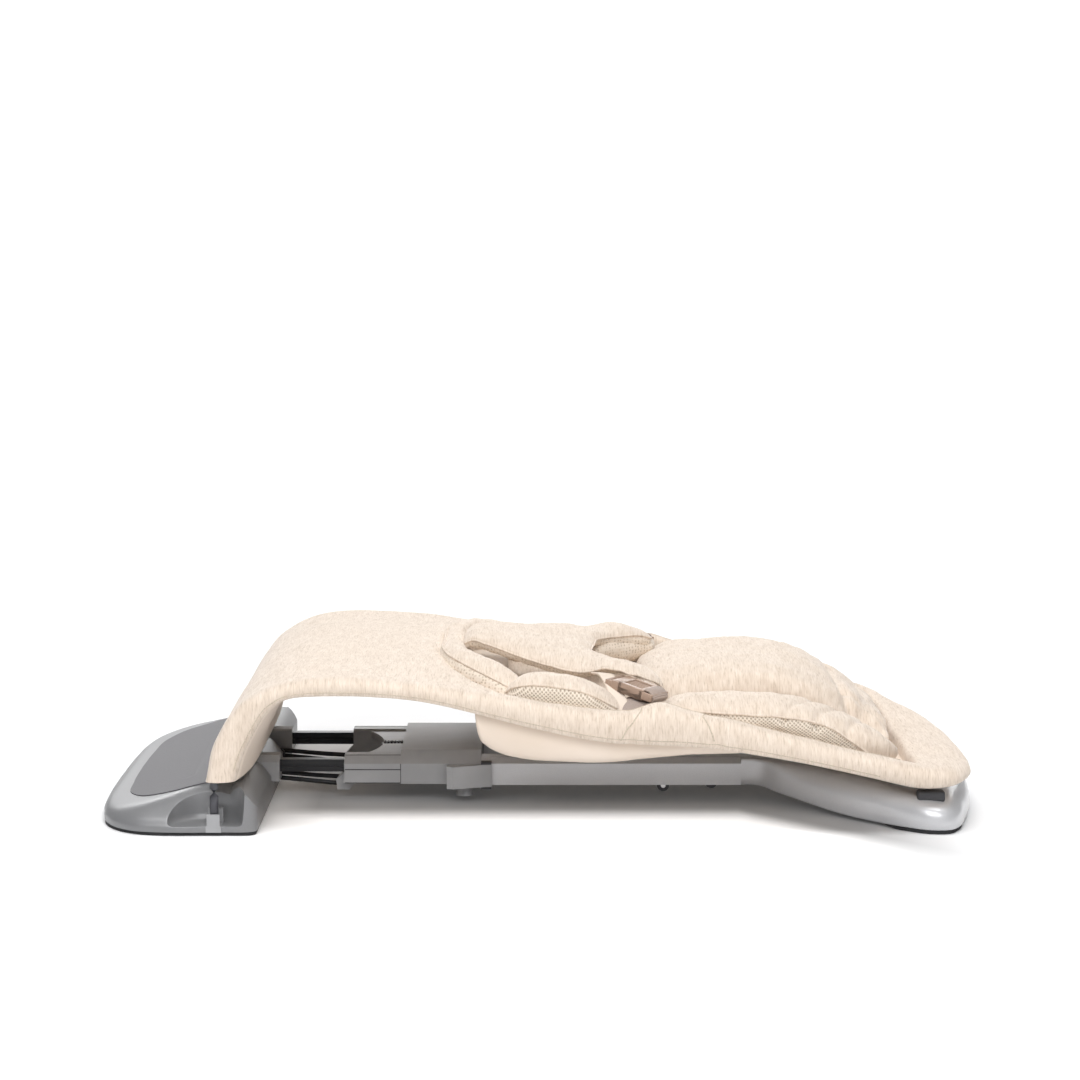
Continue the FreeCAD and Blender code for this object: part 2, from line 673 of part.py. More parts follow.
save("seat_hoop", seat_hoop())
save_pair("rim_cover", rim_cover())
save("leg_panel", leg_panel())
save("head_cover", head_cover())
save("sling", sling())
save("seat_pad", seat_pad())
save("back_pad", back_pad())
save_pair("leg_bolster", leg_bolster())
save_pair("head_bolster", head_bolster())
save("crotch_pad", crotch_pad())
save_pair("buckle_socket", buckle_socket())
save_pair("buckle_tongue", buckle_tongue())
save_pair("strap_tab", strap_tab())
save_pair("hip_strap", hip_strap())
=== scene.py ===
import math

import bmesh
import bpy
import numpy as np
from mathutils import Matrix, Vector, noise
from mathutils.bvhtree import BVHTree


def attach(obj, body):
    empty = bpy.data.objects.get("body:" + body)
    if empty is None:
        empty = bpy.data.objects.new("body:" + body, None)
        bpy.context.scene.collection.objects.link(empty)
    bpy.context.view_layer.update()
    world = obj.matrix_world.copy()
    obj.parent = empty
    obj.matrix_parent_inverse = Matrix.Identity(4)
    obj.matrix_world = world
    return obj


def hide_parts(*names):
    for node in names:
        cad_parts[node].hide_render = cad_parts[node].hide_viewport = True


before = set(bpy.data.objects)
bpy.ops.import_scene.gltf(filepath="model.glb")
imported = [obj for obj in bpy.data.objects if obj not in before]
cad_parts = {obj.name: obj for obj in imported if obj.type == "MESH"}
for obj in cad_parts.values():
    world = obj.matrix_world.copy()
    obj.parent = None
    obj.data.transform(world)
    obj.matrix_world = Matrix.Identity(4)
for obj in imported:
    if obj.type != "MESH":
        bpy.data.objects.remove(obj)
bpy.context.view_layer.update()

# A folded baby bouncer seat.  Shapes are drawn in millimetres in the model's own
# frame (+X to the head end, -Y the near side, +Z up) and stored in metres.
MM = 0.001

SIDES = ((-1, "near"), (1, "far"))
RIM_INNER_Y = 190.0
RIM_OUTER_Y = 212.0
# Side view of the rim, matched pairs of top and bottom points (x, z), hem to head.
RIM_TOP = [(-309, 50), (-299, 88), (-269, 126), (-215, 145), (-120, 142),
           (-20, 127), (60, 114), (140, 113), (240, 90), (344, 65)]
RIM_BOTTOM = [(-281, 50), (-270, 82), (-243, 121), (-200, 129), (-110, 124),
              (-14, 101), (60, 86), (147, 81), (240, 67), (344, 43.5)]


# ---------------------------------------------------------------- curves
def profile(points):
    """A smooth function through (x, value) points, flat beyond its ends."""
    xs, ys = np.array(points, float).T
    slopes = np.gradient(ys, xs)

    def at(x):
        x = np.clip(x, xs[0], xs[-1])
        i = np.clip(np.searchsorted(xs, x) - 1, 0, len(xs) - 2)
        h = xs[i + 1] - xs[i]
        t = (x - xs[i]) / h
        a = (1 + 2 * t) * (1 - t) ** 2 * ys[i] + t * (1 - t) ** 2 * h * slopes[i]
        b = t * t * (3 - 2 * t) * ys[i + 1] + t * t * (t - 1) * h * slopes[i + 1]
        return a + b

    return at


def smooth_path(points, count):
    """Points evenly spread along a smooth curve through the given ones."""
    pts = np.array(points, float)
    gaps = np.linalg.norm(np.diff(pts, axis=0), axis=1)
    stops = np.concatenate([[0], np.cumsum(gaps)])
    lines = [profile(np.column_stack([stops, pts[:, k]])) for k in range(pts.shape[1])]
    ts = np.linspace(0, stops[-1], count)
    return np.array([[line(t) for line in lines] for t in ts])


def smoothstep(low, high, x):
    t = np.clip((x - low) / (high - low), 0, 1)
    return t * t * (3 - 2 * t)


def soft_min(a, b, width):
    return -width * np.logaddexp(-a / width, -b / width)


# ---------------------------------------------------------------- meshes
def add_object(name, data):
    obj = bpy.data.objects.new(name, data)
    bpy.context.collection.objects.link(obj)
    return obj


def new_mesh(name, verts, faces, materials, body, slot, smooth_angle=180.0):
    """A mesh object from millimetre points, riding on a body."""
    mesh = bpy.data.meshes.new(name)
    mesh.from_pydata([Vector(v) * MM for v in verts], [], faces)
    mesh.validate()
    for material in materials:
        mesh.materials.append(material)
    obj = add_object(name, mesh)
    finish_mesh(obj, smooth_angle)
    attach(obj, body)
    return obj


def finish_mesh(obj, smooth_angle=180.0):
    bm = bmesh.new()
    bm.from_mesh(obj.data)
    bmesh.ops.recalc_face_normals(bm, faces=bm.faces)
    bm.to_mesh(obj.data)
    bm.free()
    obj.data.shade_smooth()
    if smooth_angle < 180:
        obj.data.set_sharp_from_angle(angle=math.radians(smooth_angle))


def grid_faces(rows, columns, wrap_columns=False):
    faces = []
    for i in range(rows - 1):
        for j in range(columns if wrap_columns else columns - 1):
            j2 = (j + 1) % columns
            faces.append((i * columns + j, i * columns + j2, (i + 1) * columns + j2, (i + 1) * columns + j))
    return faces


def capped_faces(rows, columns):
    """The wall of a closed tube and a cap at each end."""
    faces = grid_faces(rows, columns, wrap_columns=True)
    faces.append(tuple(range(columns)))
    faces.append(tuple((rows - 1) * columns + k for k in range(columns)))
    return faces


def skin(rings):
    """Points and faces of a closed tube over equal rings of points."""
    return [point for ring in rings for point in ring], capped_faces(len(rings), len(rings[0]))


def slab_faces(rows, columns):
    """A slab whose upper grid of points is followed by its lower one."""
    half = rows * columns
    upper = grid_faces(rows, columns)
    faces = upper + [tuple(i + half for i in face[::-1]) for face in upper]
    edge = list(range(columns)) + [i * columns + columns - 1 for i in range(1, rows)]
    edge += [(rows - 1) * columns + k for k in range(columns - 2, -1, -1)]
    edge += [i * columns for i in range(rows - 2, 0, -1)]
    for a, b in zip(edge, edge[1:] + edge[:1]):
        faces.append((a, b, b + half, a + half))
    return faces


def add_modifier(obj, kind, **settings):
    modifier = obj.modifiers.new(kind.title(), kind)
    for key, value in settings.items():
        setattr(modifier, key, value)
    return modifier


def bake_modifiers(obj):
    """Replaces the mesh by its modified form and removes the modifiers."""
    graph = bpy.context.evaluated_depsgraph_get()
    mesh = bpy.data.meshes.new_from_object(obj.evaluated_get(graph))
    obj.modifiers.clear()
    obj.data = mesh


def mirror_copy(obj, name):
    """The same piece on the far side of the object, on the same body."""
    copy = obj.copy()
    copy.data = obj.data.copy()
    copy.name = name
    copy.data.transform(Matrix.Scale(-1, 4, Vector((0, 1, 0))))
    copy.data.flip_normals()
    bpy.context.collection.objects.link(copy)
    return copy


def tube_points(route, radius, sides=8):
    """Rings of a round tube along a route of millimetre points."""
    route = np.array(route, float)
    rings = []
    tangents = np.gradient(route, axis=0)
    for point, tangent in zip(route, tangents):
        t = Vector(tangent).normalized()
        side = t.cross(Vector((0, 0, 1)))
        if side.length < 1e-3:
            side = Vector((0, 1, 0))
        side.normalize()
        up = side.cross(t)
        for k in range(sides):
            a = 2 * math.pi * k / sides
            rings.append(Vector(point) + side * (radius * math.cos(a)) + up * (radius * math.sin(a)))
    return rings, capped_faces(len(route), sides)


def tube(name, route, radius, material, body, slot, sides=8):
    verts, faces = tube_points(route, radius, sides)
    return new_mesh(name, verts, faces, [material], body, slot)


# ---------------------------------------------------------------- materials
def shader(name, color, roughness, **values):
    """A new material with its Principled shader's own sockets set."""
    material = bpy.data.materials.new(name)
    material.use_nodes = True
    bsdf = material.node_tree.nodes["Principled BSDF"]
    bsdf.inputs["Base Color"].default_value = (*color, 1)
    bsdf.inputs["Roughness"].default_value = roughness
    for key, value in values.items():
        bsdf.inputs[key.replace("_", " ")].default_value = value
    return material, bsdf


def node(material, kind, **inputs):
    made = material.node_tree.nodes.new(kind)
    for key, value in inputs.items():
        if hasattr(made, key) and key not in made.inputs:
            setattr(made, key, value)
        else:
            made.inputs[key.replace("_", " ")].default_value = value
    return made


def link(material, source, target):
    material.node_tree.links.new(source, target)


def object_space(material, scale=(1, 1, 1), turn=(0, 0, 0)):
    where = node(material, "ShaderNodeTexCoord")
    mapping = node(material, "ShaderNodeMapping")
    mapping.inputs["Scale"].default_value = scale
    mapping.inputs["Rotation"].default_value = turn
    link(material, where.outputs["Object"], mapping.inputs["Vector"])
    return mapping.outputs["Vector"]


def noise_at(material, vector, scale, detail=2.0, roughness=0.5):
    made = node(material, "ShaderNodeTexNoise", Scale=scale, Detail=detail, Roughness=roughness)
    link(material, vector, made.inputs["Vector"])
    return made.outputs["Fac"]


def ramp(material, value, stops):
    made = node(material, "ShaderNodeValToRGB")
    elements = made.color_ramp.elements
    elements[0].position, elements[0].color = stops[0][0], (*stops[0][1], 1)
    elements[1].position, elements[1].color = stops[-1][0], (*stops[-1][1], 1)
    for position, color in stops[1:-1]:
        elements.new(position).color = (*color, 1)
    link(material, value, made.inputs["Fac"])
    return made.outputs["Color"]


def math_node(material, operation, a, b=0.0):
    made = material.node_tree.nodes.new("ShaderNodeMath")
    made.operation = operation
    for socket, value in zip(made.inputs, (a, b)):
        if isinstance(value, (int, float)):
            socket.default_value = value
        else:
            link(material, value, socket)
    return made.outputs[0]


def times(material, a, b):
    return math_node(material, "MULTIPLY", a, b)


def plus(material, a, b):
    return math_node(material, "ADD", a, b)


def mix_color(material, factor, a, b, blend="MIX"):
    made = material.node_tree.nodes.new("ShaderNodeMix")
    made.data_type = "RGBA"
    made.blend_type = blend
    for socket, value in ((made.inputs["Factor"], factor), (made.inputs["A"], a), (made.inputs["B"], b)):
        if isinstance(value, (int, float)):
            socket.default_value = value
        elif isinstance(value, tuple):
            socket.default_value = (*value, 1)
        else:
            link(material, value, socket)
    return made.outputs["Result"]


def bump(material, bsdf, height, strength, distance):
    made = node(material, "ShaderNodeBump", Strength=strength, Distance=distance)
    link(material, height, made.inputs["Height"])
    link(material, made.outputs["Normal"], bsdf.inputs["Normal"])


def knit_material():
    """Cream heather jersey: short fibre streaks across the length over fine knit ribs."""
    light = (0.80, 0.690, 0.585)
    material, bsdf = shader("knit_heather", light, 0.92, Sheen_Weight=0.2, Sheen_Roughness=0.6)
    streaks = noise_at(material, object_space(material, (760, 95, 95)), 1.0, 3.0, 0.65)
    patches = noise_at(material, object_space(material, (160, 40, 40)), 1.0, 2.0)
    fibre = ramp(material, streaks, [(0.27, (0.56, 0.455, 0.355)), (0.43, (0.74, 0.628, 0.522)),
                                     (0.57, light), (0.74, (0.86, 0.76, 0.668))])
    tone = ramp(material, patches, [(0.3, (0.90, 0.88, 0.86)), (0.7, (1, 1, 1))])
    link(material, mix_color(material, 1.0, fibre, tone, "MULTIPLY"), bsdf.inputs["Base Color"])
    ribs = noise_at(material, object_space(material, (1400, 420, 420)), 1.0, 1.0)
    height = plus(material, times(material, ribs, 0.6), streaks)
    bump(material, bsdf, height, 0.35, 0.0008)
    return material


def plain_material():
    """Smooth plain-woven beige cloth of the sling, lining and tabs."""
    light = (0.79, 0.678, 0.572)
    material, bsdf = shader("plain_cloth", light, 0.85, Sheen_Weight=0.15, Sheen_Roughness=0.5)
    clouds = noise_at(material, object_space(material, (14, 14, 14)), 1.0, 2.0)
    weave = noise_at(material, object_space(material, (1500, 500, 1500)), 1.0, 1.0)
    tone = ramp(material, clouds, [(0.35, (0.77, 0.658, 0.552)), (0.7, (0.82, 0.71, 0.61))])
    link(material, tone, bsdf.inputs["Base Color"])
    bump(material, bsdf, weave, 0.25, 0.0004)
    return material


def mesh_material():
    """Air mesh with a diamond grid of small holes."""
    material, bsdf = shader("air_mesh", (0.80, 0.71, 0.58), 0.9, Sheen_Weight=0.2, Sheen_Roughness=0.6)
    where = node(material, "ShaderNodeTexCoord")
    split = node(material, "ShaderNodeSeparateXYZ")
    link(material, where.outputs["Object"], split.inputs["Vector"])
    pitch = 2 * math.pi / 0.0076
    along = times(material, split.outputs["X"], pitch)
    height = math_node(material, "SUBTRACT", split.outputs["Z"], times(material, split.outputs["Y"], 0.8))
    up = times(material, height, pitch * 1.25)
    first = math_node(material, "SINE", plus(material, along, up))
    second = math_node(material, "SINE", math_node(material, "SUBTRACT", along, up))
    product = times(material, math_node(material, "ABSOLUTE", first), math_node(material, "ABSOLUTE", second))
    tone = ramp(material, product, [(0.16, (0.84, 0.745, 0.64)), (0.46, (0.71, 0.61, 0.50)),
                                    (0.88, (0.42, 0.345, 0.265))])
    link(material, tone, bsdf.inputs["Base Color"])
    inverse = math_node(material, "SUBTRACT", 1.0, product)
    bump(material, bsdf, inverse, 0.6, 0.0012)
    return material


def fine_mesh_material():
    """The same mesh where it wraps round a curve: small holes the same way in every direction."""
    material, bsdf = shader("air_mesh_fine", (0.80, 0.70, 0.59), 0.9, Sheen_Weight=0.2, Sheen_Roughness=0.6)
    cell = node(material, "ShaderNodeTexVoronoi", Scale=330.0, Randomness=0.4)
    link(material, object_space(material), cell.inputs["Vector"])
    tone = ramp(material, cell.outputs["Distance"], [(0.10, (0.47, 0.39, 0.305)), (0.30, (0.70, 0.60, 0.49)),
                                                     (0.5, (0.83, 0.735, 0.63))])
    link(material, tone, bsdf.inputs["Base Color"])
    bump(material, bsdf, cell.outputs["Distance"], 0.5, 0.0008)
    return material


def webbing_material():
    """Mauve webbing with ribs along its length."""
    material, bsdf = shader("webbing_mauve", (0.43, 0.335, 0.285), 0.75, Sheen_Weight=0.2,
                            Sheen_Roughness=0.5)
    vector = object_space(material, (1, 1, 1), (0, 0, math.radians(38)))
    wave = node(material, "ShaderNodeTexWave", Scale=420.0, Distortion=0.6)
    link(material, vector, wave.inputs["Vector"])
    tone = ramp(material, wave.outputs["Fac"], [(0.2, (0.33, 0.25, 0.21)), (0.8, (0.50, 0.40, 0.345))])
    link(material, tone, bsdf.inputs["Base Color"])
    bump(material, bsdf, wave.outputs["Fac"], 0.5, 0.0005)
    return material


def moulded_material(name, color, roughness, grain=900.0, depth=0.00025, **values):
    """Moulded plastic: fine grain, faint tone change and worn roughness patches."""
    material, bsdf = shader(name, color, roughness, **values)
    fine = noise_at(material, object_space(material), grain, 2.0)
    broad = noise_at(material, object_space(material), 22.0, 3.0)
    darker = tuple(c * 0.90 for c in color)
    lighter = tuple(min(1.0, c * 1.08) for c in color)
    link(material, ramp(material, broad, [(0.35, darker), (0.65, lighter)]), bsdf.inputs["Base Color"])
    rough = plus(material, times(material, broad, 0.12), roughness - 0.06)
    link(material, rough, bsdf.inputs["Roughness"])
    bump(material, bsdf, fine, 0.3, depth)
    return material


def silver_material(name, level, rough, coat):
    """Silver metallic lacquer with fine flake."""
    color = (level, level * 1.005, level * 1.03)
    material, bsdf = shader(name, color, rough, Metallic=0.3, Coat_Weight=coat, Coat_Roughness=0.2)
    flake = node(material, "ShaderNodeTexVoronoi", Scale=2600.0)
    link(material, object_space(material), flake.inputs["Vector"])
    broad = noise_at(material, object_space(material), 16.0, 3.0)
    bright = (level * 1.08, level * 1.085, level * 1.115)
    dull = (level * 0.93, level * 0.935, level * 0.96)
    sparkle = ramp(material, flake.outputs["Distance"], [(0.0, bright), (0.6, dull)])
    link(material, sparkle, bsdf.inputs["Base Color"])
    link(material, plus(material, times(material, broad, 0.10), rough - 0.05), bsdf.inputs["Roughness"])
    bump(material, bsdf, flake.outputs["Distance"], 0.08, 0.0001)
    return material


KNIT = knit_material()
PLAIN = plain_material()
AIR_MESH = mesh_material()
FINE_MESH = fine_mesh_material()
WEBBING = webbing_material()
# The rails, loop and foot plate wear one silver lacquer: the loop's copy is lighter, painted light against
# the seat's shade over it, and the plate's copy is darker, painted shade.
SILVER = silver_material("silver_lacquer", 0.62, 0.34, 0.7)
PLATE_SILVER_PAINTED_SHADE = silver_material("plate_lacquer_painted_shade", 0.25, 0.42, 0.15)
GREY = moulded_material("grey_moulded", (0.375, 0.377, 0.386), 0.45, Metallic=0.1)
LEVER_GREY = moulded_material("lever_grey", (0.37, 0.372, 0.38), 0.40, Metallic=0.15)
INLAY = moulded_material("inlay_texture", (0.086, 0.083, 0.091), 0.55, grain=420.0, depth=0.0006)
DARK = moulded_material("dark_moulded", (0.045, 0.045, 0.05), 0.5)
BLACK = moulded_material("black_anodised", (0.018, 0.018, 0.02), 0.30, grain=1500.0, depth=0.0001,
                         Metallic=0.4)
RUBBER = moulded_material("sole_rubber", (0.022, 0.022, 0.024), 0.75)
WIRE = moulded_material("hoop_powder_coat", (0.075, 0.075, 0.085), 0.45, grain=1300.0)
STEEL = moulded_material("bright_steel", (0.72, 0.72, 0.74), 0.22, grain=1500.0, depth=0.0001, Metallic=1.0)
BUCKLE = moulded_material("buckle_plastic", (0.41, 0.292, 0.225), 0.36)
THREAD, thread_bsdf = shader("seam_thread", (0.62, 0.53, 0.42), 0.9)
thread_noise = noise_at(THREAD, object_space(THREAD, (900, 900, 900)), 1.0)
link(THREAD, ramp(THREAD, thread_noise, [(0.3, (0.50, 0.42, 0.33)), (0.7, (0.70, 0.61, 0.50))]),
     thread_bsdf.inputs["Base Color"])
# painted shade: a near-black cloth colour for the shade inside seam gaps; no piece wears it
SEAM_GAP_SHADE, gap_bsdf = shader("seam_gap_painted_shade", (0.10, 0.09, 0.085), 0.9)
gap_noise = noise_at(SEAM_GAP_SHADE, object_space(SEAM_GAP_SHADE, (300, 300, 300)), 1.0)
link(SEAM_GAP_SHADE, ramp(SEAM_GAP_SHADE, gap_noise, [(0.3, (0.08, 0.07, 0.065)), (0.7, (0.14, 0.12, 0.11))]),
     gap_bsdf.inputs["Base Color"])


# ---------------------------------------------------------------- hard parts from the frame
def pair(name):
    return [name + "_near", name + "_far"]


def dress_cad_parts():
    """Gives each carried-over part its material and small rounded edges."""
    finishes = [
        (SILVER, 0.9, pair("rail")),
        (GREY, 0.9, pair("rail_shell") + ["centre_cover", "bridge_plate", "support_pegs"]
                    + pair("rod_socket") + pair("pivot_boot")),
        (LEVER_GREY, 1.6, pair("release_lever")),
        (BLACK, 0.6, pair("guide_rod")),
        (DARK, 0.5, ["foot_base_plate", "detent_rack", "rail_bushings"] + pair("lever_pivot")
                    + pair("crank_arm") + pair("shaft_bearing")),
        (WIRE, 0.0, ["crank_shaft"]),
        (RUBBER, 0.8, ["foot_sole"]),
        (STEEL, 0.3, ["rail_rivets", "lug_pins", "foot_screws"]),
    ]
    for material, edge, names in finishes:
        for name in names:
            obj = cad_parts[name]
            obj.data.materials.clear()
            obj.data.materials.append(material)
            if edge:
                add_modifier(obj, "BEVEL", width=edge * MM, segments=2, limit_method="ANGLE",
                             angle_limit=math.radians(38), harden_normals=False)


# ---------------------------------------------------------------- foot plate
PLATE_SIDE = profile([(-420, 8.5), (-416, 12), (-400, 17.5), (-384, 21.5), (-345, 31), (-318, 39),
                      (-303, 43.5), (-290, 45.5), (-278, 43), (-269, 36.5), (-261, 26)])


def plate_height(x, y, edge):
    """Top of the plate; edge is the distance in from its outline."""
    shoulder = 8.5 + 4.5 * (1 - np.exp(-edge / 2.2)) + 0.60 * edge
    at_back = smoothstep(-290, -270, x)
    crown = 46.5 - 3.0 * smoothstep(120, 200, abs(y))
    rim = soft_min(shoulder + 34 * at_back, crown, 2.0)
    return soft_min(PLATE_SIDE(x), rim, 1.6)


def plate_outline(count):
    corner = [(-290, -212), (-350, -212), (-376, -206), (-395, -190), (-407, -168), (-413, -140), (-418, -80),
              (-420, 0)]
    front = smooth_path(corner, count)
    back = [(-290, -212), (-272, -212), (-264.5, -209.5), (-261, -203)]
    side = smooth_path(back, max(4, count // 6))[::-1]
    rear = np.column_stack([np.full(count // 2, -261.0), np.linspace(0, -203, count // 2, endpoint=False)])
    half = np.vstack([rear, side[:-1], front])
    other = half[::-1] * [1, -1]
    return np.vstack([half, other[1:-1]])


def plate_patch(outline, lift, floor_z, insets):
    """A lid over an outline whose top follows the plate, closed down to floor_z."""
    count = len(outline)
    spine = np.column_stack([np.full(count, -330.0), np.clip(outline[:, 1], -115, 115)])
    reach = np.linalg.norm(spine - outline, axis=1)
    verts = [(x, y, floor_z) for x, y in outline]
    for inset in insets:
        share = np.minimum(inset / reach, 1.0)[:, None] if inset >= 0 else np.ones((count, 1))
        ring = outline + (spine - outline) * share
        for k, (x, y) in enumerate(ring):
            edge = share[k, 0] * reach[k]
            verts.append((x, y, plate_height(x, y, edge) + lift))
    faces = grid_faces(len(insets) + 1, count, wrap_columns=True)
    faces.append(tuple(range(count)))
    return verts, faces


def box_verts(x0, x1, y0, y1, z0, z1):
    verts = [(x, y, z) for x in (x0, x1) for y in (y0, y1) for z in (z0, z1)]
    faces = [(0, 1, 3, 2), (4, 6, 7, 5), (0, 4, 5, 1), (2, 3, 7, 6), (0, 2, 6, 4), (1, 5, 7, 3)]
    return verts, faces


def joined_boxes(boxes):
    verts, faces = [], []
    for bounds in boxes:
        corners, sides = box_verts(*bounds)
        faces += [tuple(k + len(verts) for k in face) for face in sides]
        verts += corners
    return verts, faces


def cutter(name, verts, faces):
    mesh = bpy.data.meshes.new(name)
    mesh.from_pydata([Vector(v) * MM for v in verts], [], faces)
    obj = add_object(name, mesh)
    finish_mesh(obj)
    return obj


def subtract(obj, tools):
    for tool in tools:
        add_modifier(obj, "BOOLEAN", operation="DIFFERENCE", solver="EXACT", object=tool)
    bake_modifiers(obj)
    for tool in tools:
        bpy.data.objects.remove(tool)


DISH_X = -309
DISH_Y = 216


def dish_cutter(side):
    """A round dish with a rolled lower edge, open at the plate's side."""
    levels = [(9.0, 30.5), (9.6, 33.0), (11.4, 34.8), (15, 35.6), (26, 36.6), (70, 40)]
    count = 72
    verts = []
    for z, radius in levels:
        for k in range(count):
            a = 2 * math.pi * k / count
            verts.append((DISH_X + radius * math.cos(a), side * DISH_Y + radius * math.sin(a), z))
    return cutter("dish", verts, capped_faces(len(levels), count))


INLAY_RISE = 0.9
INLAY_DEPTH = 2.0


def foot_plate():
    insets = [0.0, 0.6, 1.4, 2.6, 4.2, 6.5, 9, 12, 16, 21, 27, 34, 42, 52, 64, 78, 95, -1]
    verts, faces = plate_patch(plate_outline(60), 0.0, 3.5, insets)
    shell = new_mesh("plate_shell", verts, faces, [PLATE_SILVER_PAINTED_SHADE], "front_base", "silver_paint")
    tools = [dish_cutter(-1), dish_cutter(1)]
    for side in (-1, 1):
        low, high = sorted((side * 39, side * 55))
        tools.append(cutter("slot", *box_verts(-298, -250, low, high, 12, 70)))
        low, high = sorted((side * 54.8, side * 76.2))
        tools.append(cutter("seat", *box_verts(-285.2, -250, low, high, 20.8, 70)))
    shell.parent = None
    subtract(shell, tools)
    add_modifier(shell, "BEVEL", width=0.9 * MM, segments=3, limit_method="ANGLE",
                 angle_limit=math.radians(42))
    bake_modifiers(shell)
    shell.data.shade_smooth()
    shell.data.set_sharp_from_angle(angle=math.radians(50))
    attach(shell, "front_base")
    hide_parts("foot_shell")

    edge = smooth_path([(-306, -166), (-345, -164), (-372, -154), (-388, -128), (-395, -70), (-397, 0)], 44)
    mirrored = (edge[::-1] * [1, -1])[1:]
    back = np.column_stack([np.full(20, -306.0), np.linspace(166, -166, 22)[1:-1]])
    outline = np.vstack([edge, mirrored, back])
    verts, faces = plate_patch(outline, INLAY_RISE, 8.0, [0.0, 0.8, 2, 5, 10, 18, 30, 45, 62, 80, -1])
    count = len(outline)
    for k, (x, y, _) in enumerate(verts[count:], count):
        from_edge = min(212 - abs(y), 420 + x)
        verts[k] = (x, y, float(plate_height(x, y, from_edge)) + INLAY_RISE)
    for k, (x, y, _) in enumerate(verts[:count]):
        verts[k] = (x, y, verts[k + count][2] - INLAY_DEPTH)
    inlay = new_mesh("plate_inlay", verts, faces, [INLAY], "front_base", "inlay_dark", 60)
    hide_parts("foot_inlay")


# ---------------------------------------------------------------- links
LINK_WIRE_RADIUS = 2.3
HOOP_RADIUS = 4.0


def links():
    """The bent black wires between the crank and the rear frame."""
    route = [(-263, 25.5), (-240, 23.5), (-215, 21.5), (-198, 20.5), (-190.5, 19.8), (-187.2, 17.2),
             (-189, 14.6), (-197, 14.0), (-215, 15.5), (-240, 18.0), (-263, 20.0)]
    for side, suffix in SIDES:
        points = smooth_path([(x, side * 50, z) for x, z in route], 60)
        wire = tube("link_wire_" + suffix, points, LINK_WIRE_RADIUS, BLACK, "link_" + suffix,
                    "black_anodised", 12)
        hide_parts("link_rod_" + suffix)


def shell_shade_lines():
    """Dark strips on the rails' front shells: painted shade in the groove and along both long edges, and the
    dark joint to the cover.
    """
    start, end = -189.5, -135.2
    boxes = [(start, end, 77.3, 77.95, 32.6, 33.6), (start, end, 77.6, 78.15, 19.7, 20.4),
             (start, end, 69.6, 70.4, 45.8, 46.2), (-135.5, -134.9, 77.6, 78.2, 20, 39)]
    for side, suffix in SIDES:
        verts, faces = joined_boxes([(x0, x1, *sorted((side * y0, side * y1)), z0, z1)
                                     for x0, x1, y0, y1, z0, z1 in boxes])
        new_mesh("shell_shade_lines_" + suffix, verts, faces, [DARK], "rear_frame", "dark_plastic")


def hoop():
    """The bent wire inside the rim, drawn in at the far corner of the head like the cover."""
    side = [(-301, -203.5, 14), (-301, -203.5, 24), (-301, -203.5, 34), (-301, -203.5, 44),
            (-297.5, -203.5, 66), (-288, -203.5, 90), (-252, -203.5, 126), (-205, -203.5, 137),
            (-110, -203.5, 133), (60, -203, 100), (150, -202, 97), (240, -200, 78)]
    near_head = [(300, -198, 64), (344, -194, 55), (372, -176, 51), (387, -136, 51), (392, -80, 51)]
    far_head = [(388, 10, 51), (381, 62, 51), (371, 106, 51), (359, 146, 51), (346, 176, 52), (326, 199, 57)]
    route = side + near_head + far_head + [(x, -y, z) for x, y, z in side[::-1]]
    wire = tube("hoop_wire", smooth_path(route, 260), HOOP_RADIUS, WIRE, "seat", "hoop_wire", 16)
    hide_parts("seat_hoop")


# ---------------------------------------------------------------- rear base loop
def loop_stations():
    """(outer x, y, inner x, y, bottom z, top z) from the rail to the middle of the end."""
    return [(195, 78, 195, 54.5, 18, 44), (208, 79, 207, 55, 18, 44), (230, 97, 232, 68, 14, 43.6),
            (256, 120, 258, 83, 9.2, 42.8), (283, 145, 285, 99, 5, 41.5), (310, 169.5, 308, 113, 3.5, 39.5),
            (338, 194, 326, 118, 3.5, 36.5), (362, 208, 338, 115, 3.5, 33.5), (380, 207, 346, 107, 3.5, 32),
            (391, 192, 352, 96, 3.5, 31.2), (399, 165, 356, 82, 3.5, 30.6), (408, 130, 360, 62, 3.5, 30),
            (414, 95, 362.5, 44, 3.5, 29.6), (418, 50, 364, 23, 3.5, 29.2), (420, 0, 364.5, 0, 3.5, 29)]


# Cross-section of the loop: share of the way in from the outer edge, share of the height.
LOOP_SECTION = [(0.30, 0.0), (0.06, 0.0), (0.015, 0.02), (0.0, 0.07), (0.0, 0.28), (0.006, 0.45),
                (0.026, 0.60), (0.062, 0.725), (0.115, 0.83), (0.19, 0.915), (0.32, 0.98), (0.50, 1.0),
                (0.66, 0.985), (0.80, 0.94), (0.90, 0.87), (0.965, 0.77), (0.995, 0.66), (1.0, 0.5),
                (1.0, 0.2), (0.985, 0.06), (0.94, 0.0), (0.70, 0.0)]


RAIL_SECTION = [(0.30, 0.0), (0.06, 0.0), (0.02, 0.01), (0.0, 0.04), (0.0, 0.35), (0.0, 0.60), (0.0, 0.80),
                (0.0, 0.90), (0.01, 0.97), (0.04, 0.995), (0.25, 1.0), (0.50, 1.0), (0.75, 1.0),
                (0.96, 0.995), (0.99, 0.97), (1.0, 0.90), (1.0, 0.75), (1.0, 0.5), (1.0, 0.2), (0.99, 0.03),
                (0.95, 0.0), (0.70, 0.0)]


SOLE_TOP_Z = 3.5
SOLE_DEPTH = 3.45
SOLE_INSET = 3.0
SOLE_START_X = 319


